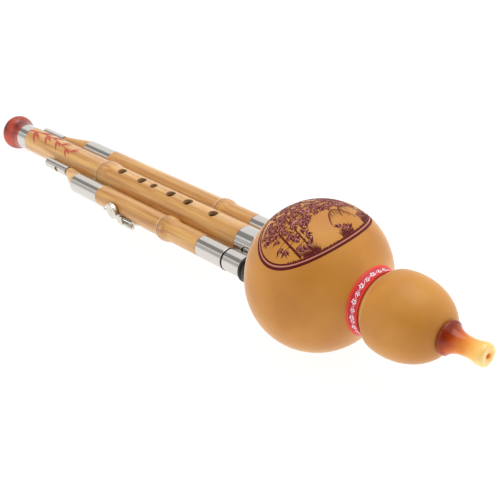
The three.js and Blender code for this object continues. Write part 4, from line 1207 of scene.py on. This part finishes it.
def leaf(flat, base, angle, size, width=0.15):
    """A pointed leaf; its half width is a share of its length."""
    along = Vector((math.cos(angle), math.sin(angle), 0))
    side = Vector((-along.y, along.x, 0))
    start = Vector((*base, 0))
    half = size * width
    tip = flat.verts.new(start + along * size)
    root = flat.verts.new(start)
    left, right = ([flat.verts.new(start + along * size * t + side * half * edge) for t in (0.25, 0.55)]
                   for edge in (0.9, -0.9))
    flat.faces.new((root, right[0], left[0]))
    flat.faces.new((left[0], right[0], right[1], left[1]))
    flat.faces.new((left[1], right[1], tip))


def spray(flat, fine, at, side, dice, inside, up=False):
    """A few leaves that spread from one point, some with a pale rib."""
    middle = math.pi / 2 if up else -math.pi / 2 + side * 0.7
    for number in range(dice.randint(4, 6)):
        angle = middle + (number - 2.2) * 0.42 + dice.uniform(-0.12, 0.12)
        size = dice.uniform(2.4, 4.2)
        end = (at[0] + math.cos(angle) * size, at[1] + math.sin(angle) * size)
        if inside(*end, 0.4) and inside(*at, 0.3):
            leaf(flat, at, angle, size)
            if number % 3:
                along = Vector((math.cos(angle), math.sin(angle)))
                across = Vector((-along.y, along.x)) * dice.uniform(-0.2, 0.4)
                stroke(fine, [Vector(at) + across + along * size * t for t in (0.15, 0.85)], 0.22, 0.1)


class HULUSI_OT_sprig(bpy.types.Operator):
    """Small red leaf sprig painted on the melody pipe near the bell"""
    bl_idname = "hulusi.sprig"
    bl_label = "Sprig"

    def execute(self, context):
        red = grained("Red lacquer paint", "#b03c28", "#c25340", 1200, roughness=0.5)
        flat = bmesh.new()
        stem = [(26 + 58 * i / 40, 2.4 * math.sin(4.2 * i / 40) - 0.8) for i in range(41)]
        stroke(flat, stem, 1.3, 0.5)
        for number, (x, y) in enumerate(stem[4:40:5]):
            side = 1 if number % 2 else -1
            for turn in (0.35, 0.8):
                leaf(flat, (x, y), side * turn, 12.5 - number * 0.6, 0.1)
        bmesh.ops.subdivide_edges(flat, edges=flat.edges[:], cuts=3, use_grid_fill=True)
        radius = context.scene.hulusi_pipes.melody_radius + 0.07 * MM
        for vert in flat.verts:
            angle = math.pi / 2 - vert.co.y * MM / radius + 0.1
            vert.co = Vector((vert.co.x * MM, radius * math.cos(angle), radius * math.sin(angle)))
        bmesh.ops.recalc_face_normals(flat, faces=flat.faces)
        made = piece("melody_pipe_sprig", flat, PIPE, "melody_pipe", [red])
        for face in made.data.polygons:
            if face.normal.z < 0:
                face.flip()
        return {"FINISHED"}


# Studio
class HULUSI_OT_studio(bpy.types.Operator):
    """Pale floor, white surroundings, soft lights and the camera"""
    bl_idname = "hulusi.studio"
    bl_label = "Studio"

    def execute(self, context):
        studio = context.scene.hulusi_studio
        self.floor(studio)
        self.world(studio)
        for name, place, size, power in (("top softbox", (0.0, 0.35, 1.3), 1.1, 10),
                                         ("back softbox", (0.4, 1.2, 0.6), 0.9, 1.6),
                                         ("left softbox", (-0.6, -1.1, 0.4), 0.9, 2.2)):
            light = bpy.data.lights.new(name, "AREA")
            light.energy = power
            light.size = size
            lamp = shown(name, light)
            lamp.location = place
            lamp.visible_glossy = name == "top softbox"
            aim = Vector(place) - Vector((0, 0, 0.04))
            lamp.rotation_euler = aim.to_track_quat("Z", "Y").to_euler()
        back = PIPE.to_3x3() @ Vector(studio.camera_back).normalized()
        right = PIPE.to_3x3() @ Vector(studio.camera_right).normalized()
        camera = shown("camera", bpy.data.cameras.new("camera"))
        camera.data.lens = studio.lens
        camera.data.sensor_width = 36
        camera.data.clip_start = 0.01
        turn = Matrix((right, back.cross(right), back)).transposed().to_4x4()
        camera.matrix_world = Matrix.Translation(PIPE @ Vector(studio.camera_place)) @ turn
        context.scene.camera = camera
        context.scene.view_settings.view_transform = "Standard"
        self.cards(back)
        return {"FINISHED"}

    def cards(self, back):
        """Dark cards as in a photographer's studio: strips for the metal, and one round the camera."""
        for name, first, last, level in (("dark strip", -5, 38, 0.33), ("grey strip", 50, 80, 0.6)):
            strip = bmesh.new()
            strip.edges.new([strip.verts.new((x, 0, 1.2)) for x in (-5, -0.2)])
            move(strip, Matrix.Rotation(math.radians(first), 4, "X"))
            bmesh.ops.spin(strip, geom=strip.verts[:] + strip.edges[:], axis=(1, 0, 0),
                           angle=math.radians(last - first), steps=12)
            self.card(name, strip, level, diffuse=False)
        plate = bmesh.new()
        place = Matrix.Translation(back * 0.85) @ back.to_track_quat("Z", "Y").to_matrix().to_4x4()
        bmesh.ops.create_circle(plate, cap_ends=True, segments=48, radius=0.46, matrix=place)
        self.card("camera card", plate, 0.08, diffuse=True)

    def card(self, name, shape, level, diffuse):
        made = bpy.data.materials.new(name)
        made.use_nodes = True
        tree = made.node_tree
        tree.nodes.clear()
        glow = add(tree, "ShaderNodeEmission", None, {"Color": (1, 1, 1, 1), "Strength": level})
        add(tree, "ShaderNodeOutputMaterial", None, {"Surface": glow})
        card = shown(name, mesh_from(name, shape, [made]))
        card.visible_camera = card.visible_transmission = False
        card.visible_diffuse = card.visible_shadow = diffuse

    def floor(self, studio):
        """A light table: white to the camera with a faint shadow, and it gives some light from below."""
        made, tree, shader = finish("Studio floor", roughness=0.9, specular_ior_level=0,
                                    base_color=studio.floor)
        path = add(tree, "ShaderNodeLightPath")
        seen = add(tree, "ShaderNodeMath", {"operation": "MAXIMUM"},
                   {0: path.outputs["Is Camera Ray"], 1: path.outputs["Is Glossy Ray"]})
        level = add(tree, "ShaderNodeMapRange", None, {"Value": seen, "To Min": 1.5, "To Max": 1.15})
        glow = add(tree, "ShaderNodeEmission", None, {"Color": (1, 1, 1, 1), "Strength": level})
        mixed = add(tree, "ShaderNodeMixShader", None,
                    {0: 0.8, 1: shader.outputs["BSDF"], 2: glow.outputs["Emission"]})
        tree.links.new(mixed.outputs["Shader"], tree.nodes["Material Output"].inputs["Surface"])
        shape = bmesh.new()
        bmesh.ops.create_circle(shape, cap_ends=True, segments=96, radius=6)
        floor = shown("floor", mesh_from("floor", shape, [made]))

    def world(self, studio):
        world = bpy.data.worlds.new("studio")
        bpy.context.scene.world = world
        world.use_nodes = True
        tree = world.node_tree
        path = add(tree, "ShaderNodeLightPath")
        glossy = add(tree, "ShaderNodeMath", {"operation": "MAXIMUM"},
                     {0: path.outputs["Is Camera Ray"], 1: path.outputs["Is Glossy Ray"]})
        seen = add(tree, "ShaderNodeMath", {"operation": "MAXIMUM"},
                   {0: glossy, 1: path.outputs["Is Transmission Ray"]})
        strength = add(tree, "ShaderNodeMapRange", None,
                       {"Value": seen, "To Min": studio.ambient, "To Max": 1})
        background = tree.nodes["Background"]
        background.inputs["Color"].default_value = (1, 1, 1, 1)
        tree.links.new(strength.outputs["Result"], background.inputs["Strength"])


class HULUSI_PT_panel(bpy.types.Panel):
    """Lists the pieces in the order in which they are built"""
    bl_label = "Gourd Flute"
    bl_idname = "HULUSI_PT_panel"
    bl_space_type = "VIEW_3D"
    bl_region_type = "UI"
    bl_category = "Gourd Flute"

    def draw(self, context):
        for operator in PIECES:
            self.layout.operator(operator.bl_idname)
        for group in GROUPS:
            box = self.layout.box()
            values = getattr(context.scene, group)
            for name in values.bl_rna.properties.keys():
                if name not in ("rna_type", "name"):
                    box.prop(values, name)


PIECES = (HULUSI_OT_studio, HULUSI_OT_gourd, HULUSI_OT_painting, HULUSI_OT_waist_band,
          HULUSI_OT_mouthpiece, HULUSI_OT_bell, HULUSI_OT_melody_pipe, HULUSI_OT_sprig,
          HULUSI_OT_drones, HULUSI_OT_sleeves, HULUSI_OT_tip_sleeves, HULUSI_OT_key,
          HULUSI_OT_inner_parts)
GROUPS = {"hulusi_gourd": GourdSizes, "hulusi_pipes": PipeSizes, "hulusi_studio": StudioSettings}


def register():
    for kind in (*GROUPS.values(), *PIECES, HULUSI_PT_panel):
        bpy.utils.register_class(kind)
    for name, kind in GROUPS.items():
        setattr(bpy.types.Scene, name, PointerProperty(type=kind))


def unregister():
    for name in GROUPS:
        delattr(bpy.types.Scene, name)
    for kind in reversed((*GROUPS.values(), *PIECES, HULUSI_PT_panel)):
        bpy.utils.unregister_class(kind)


def main():
    register()
    for operator in PIECES:
        group, name = operator.bl_idname.split(".")
        getattr(getattr(bpy.ops, group), name)()


if __name__ == "__main__":
    main()
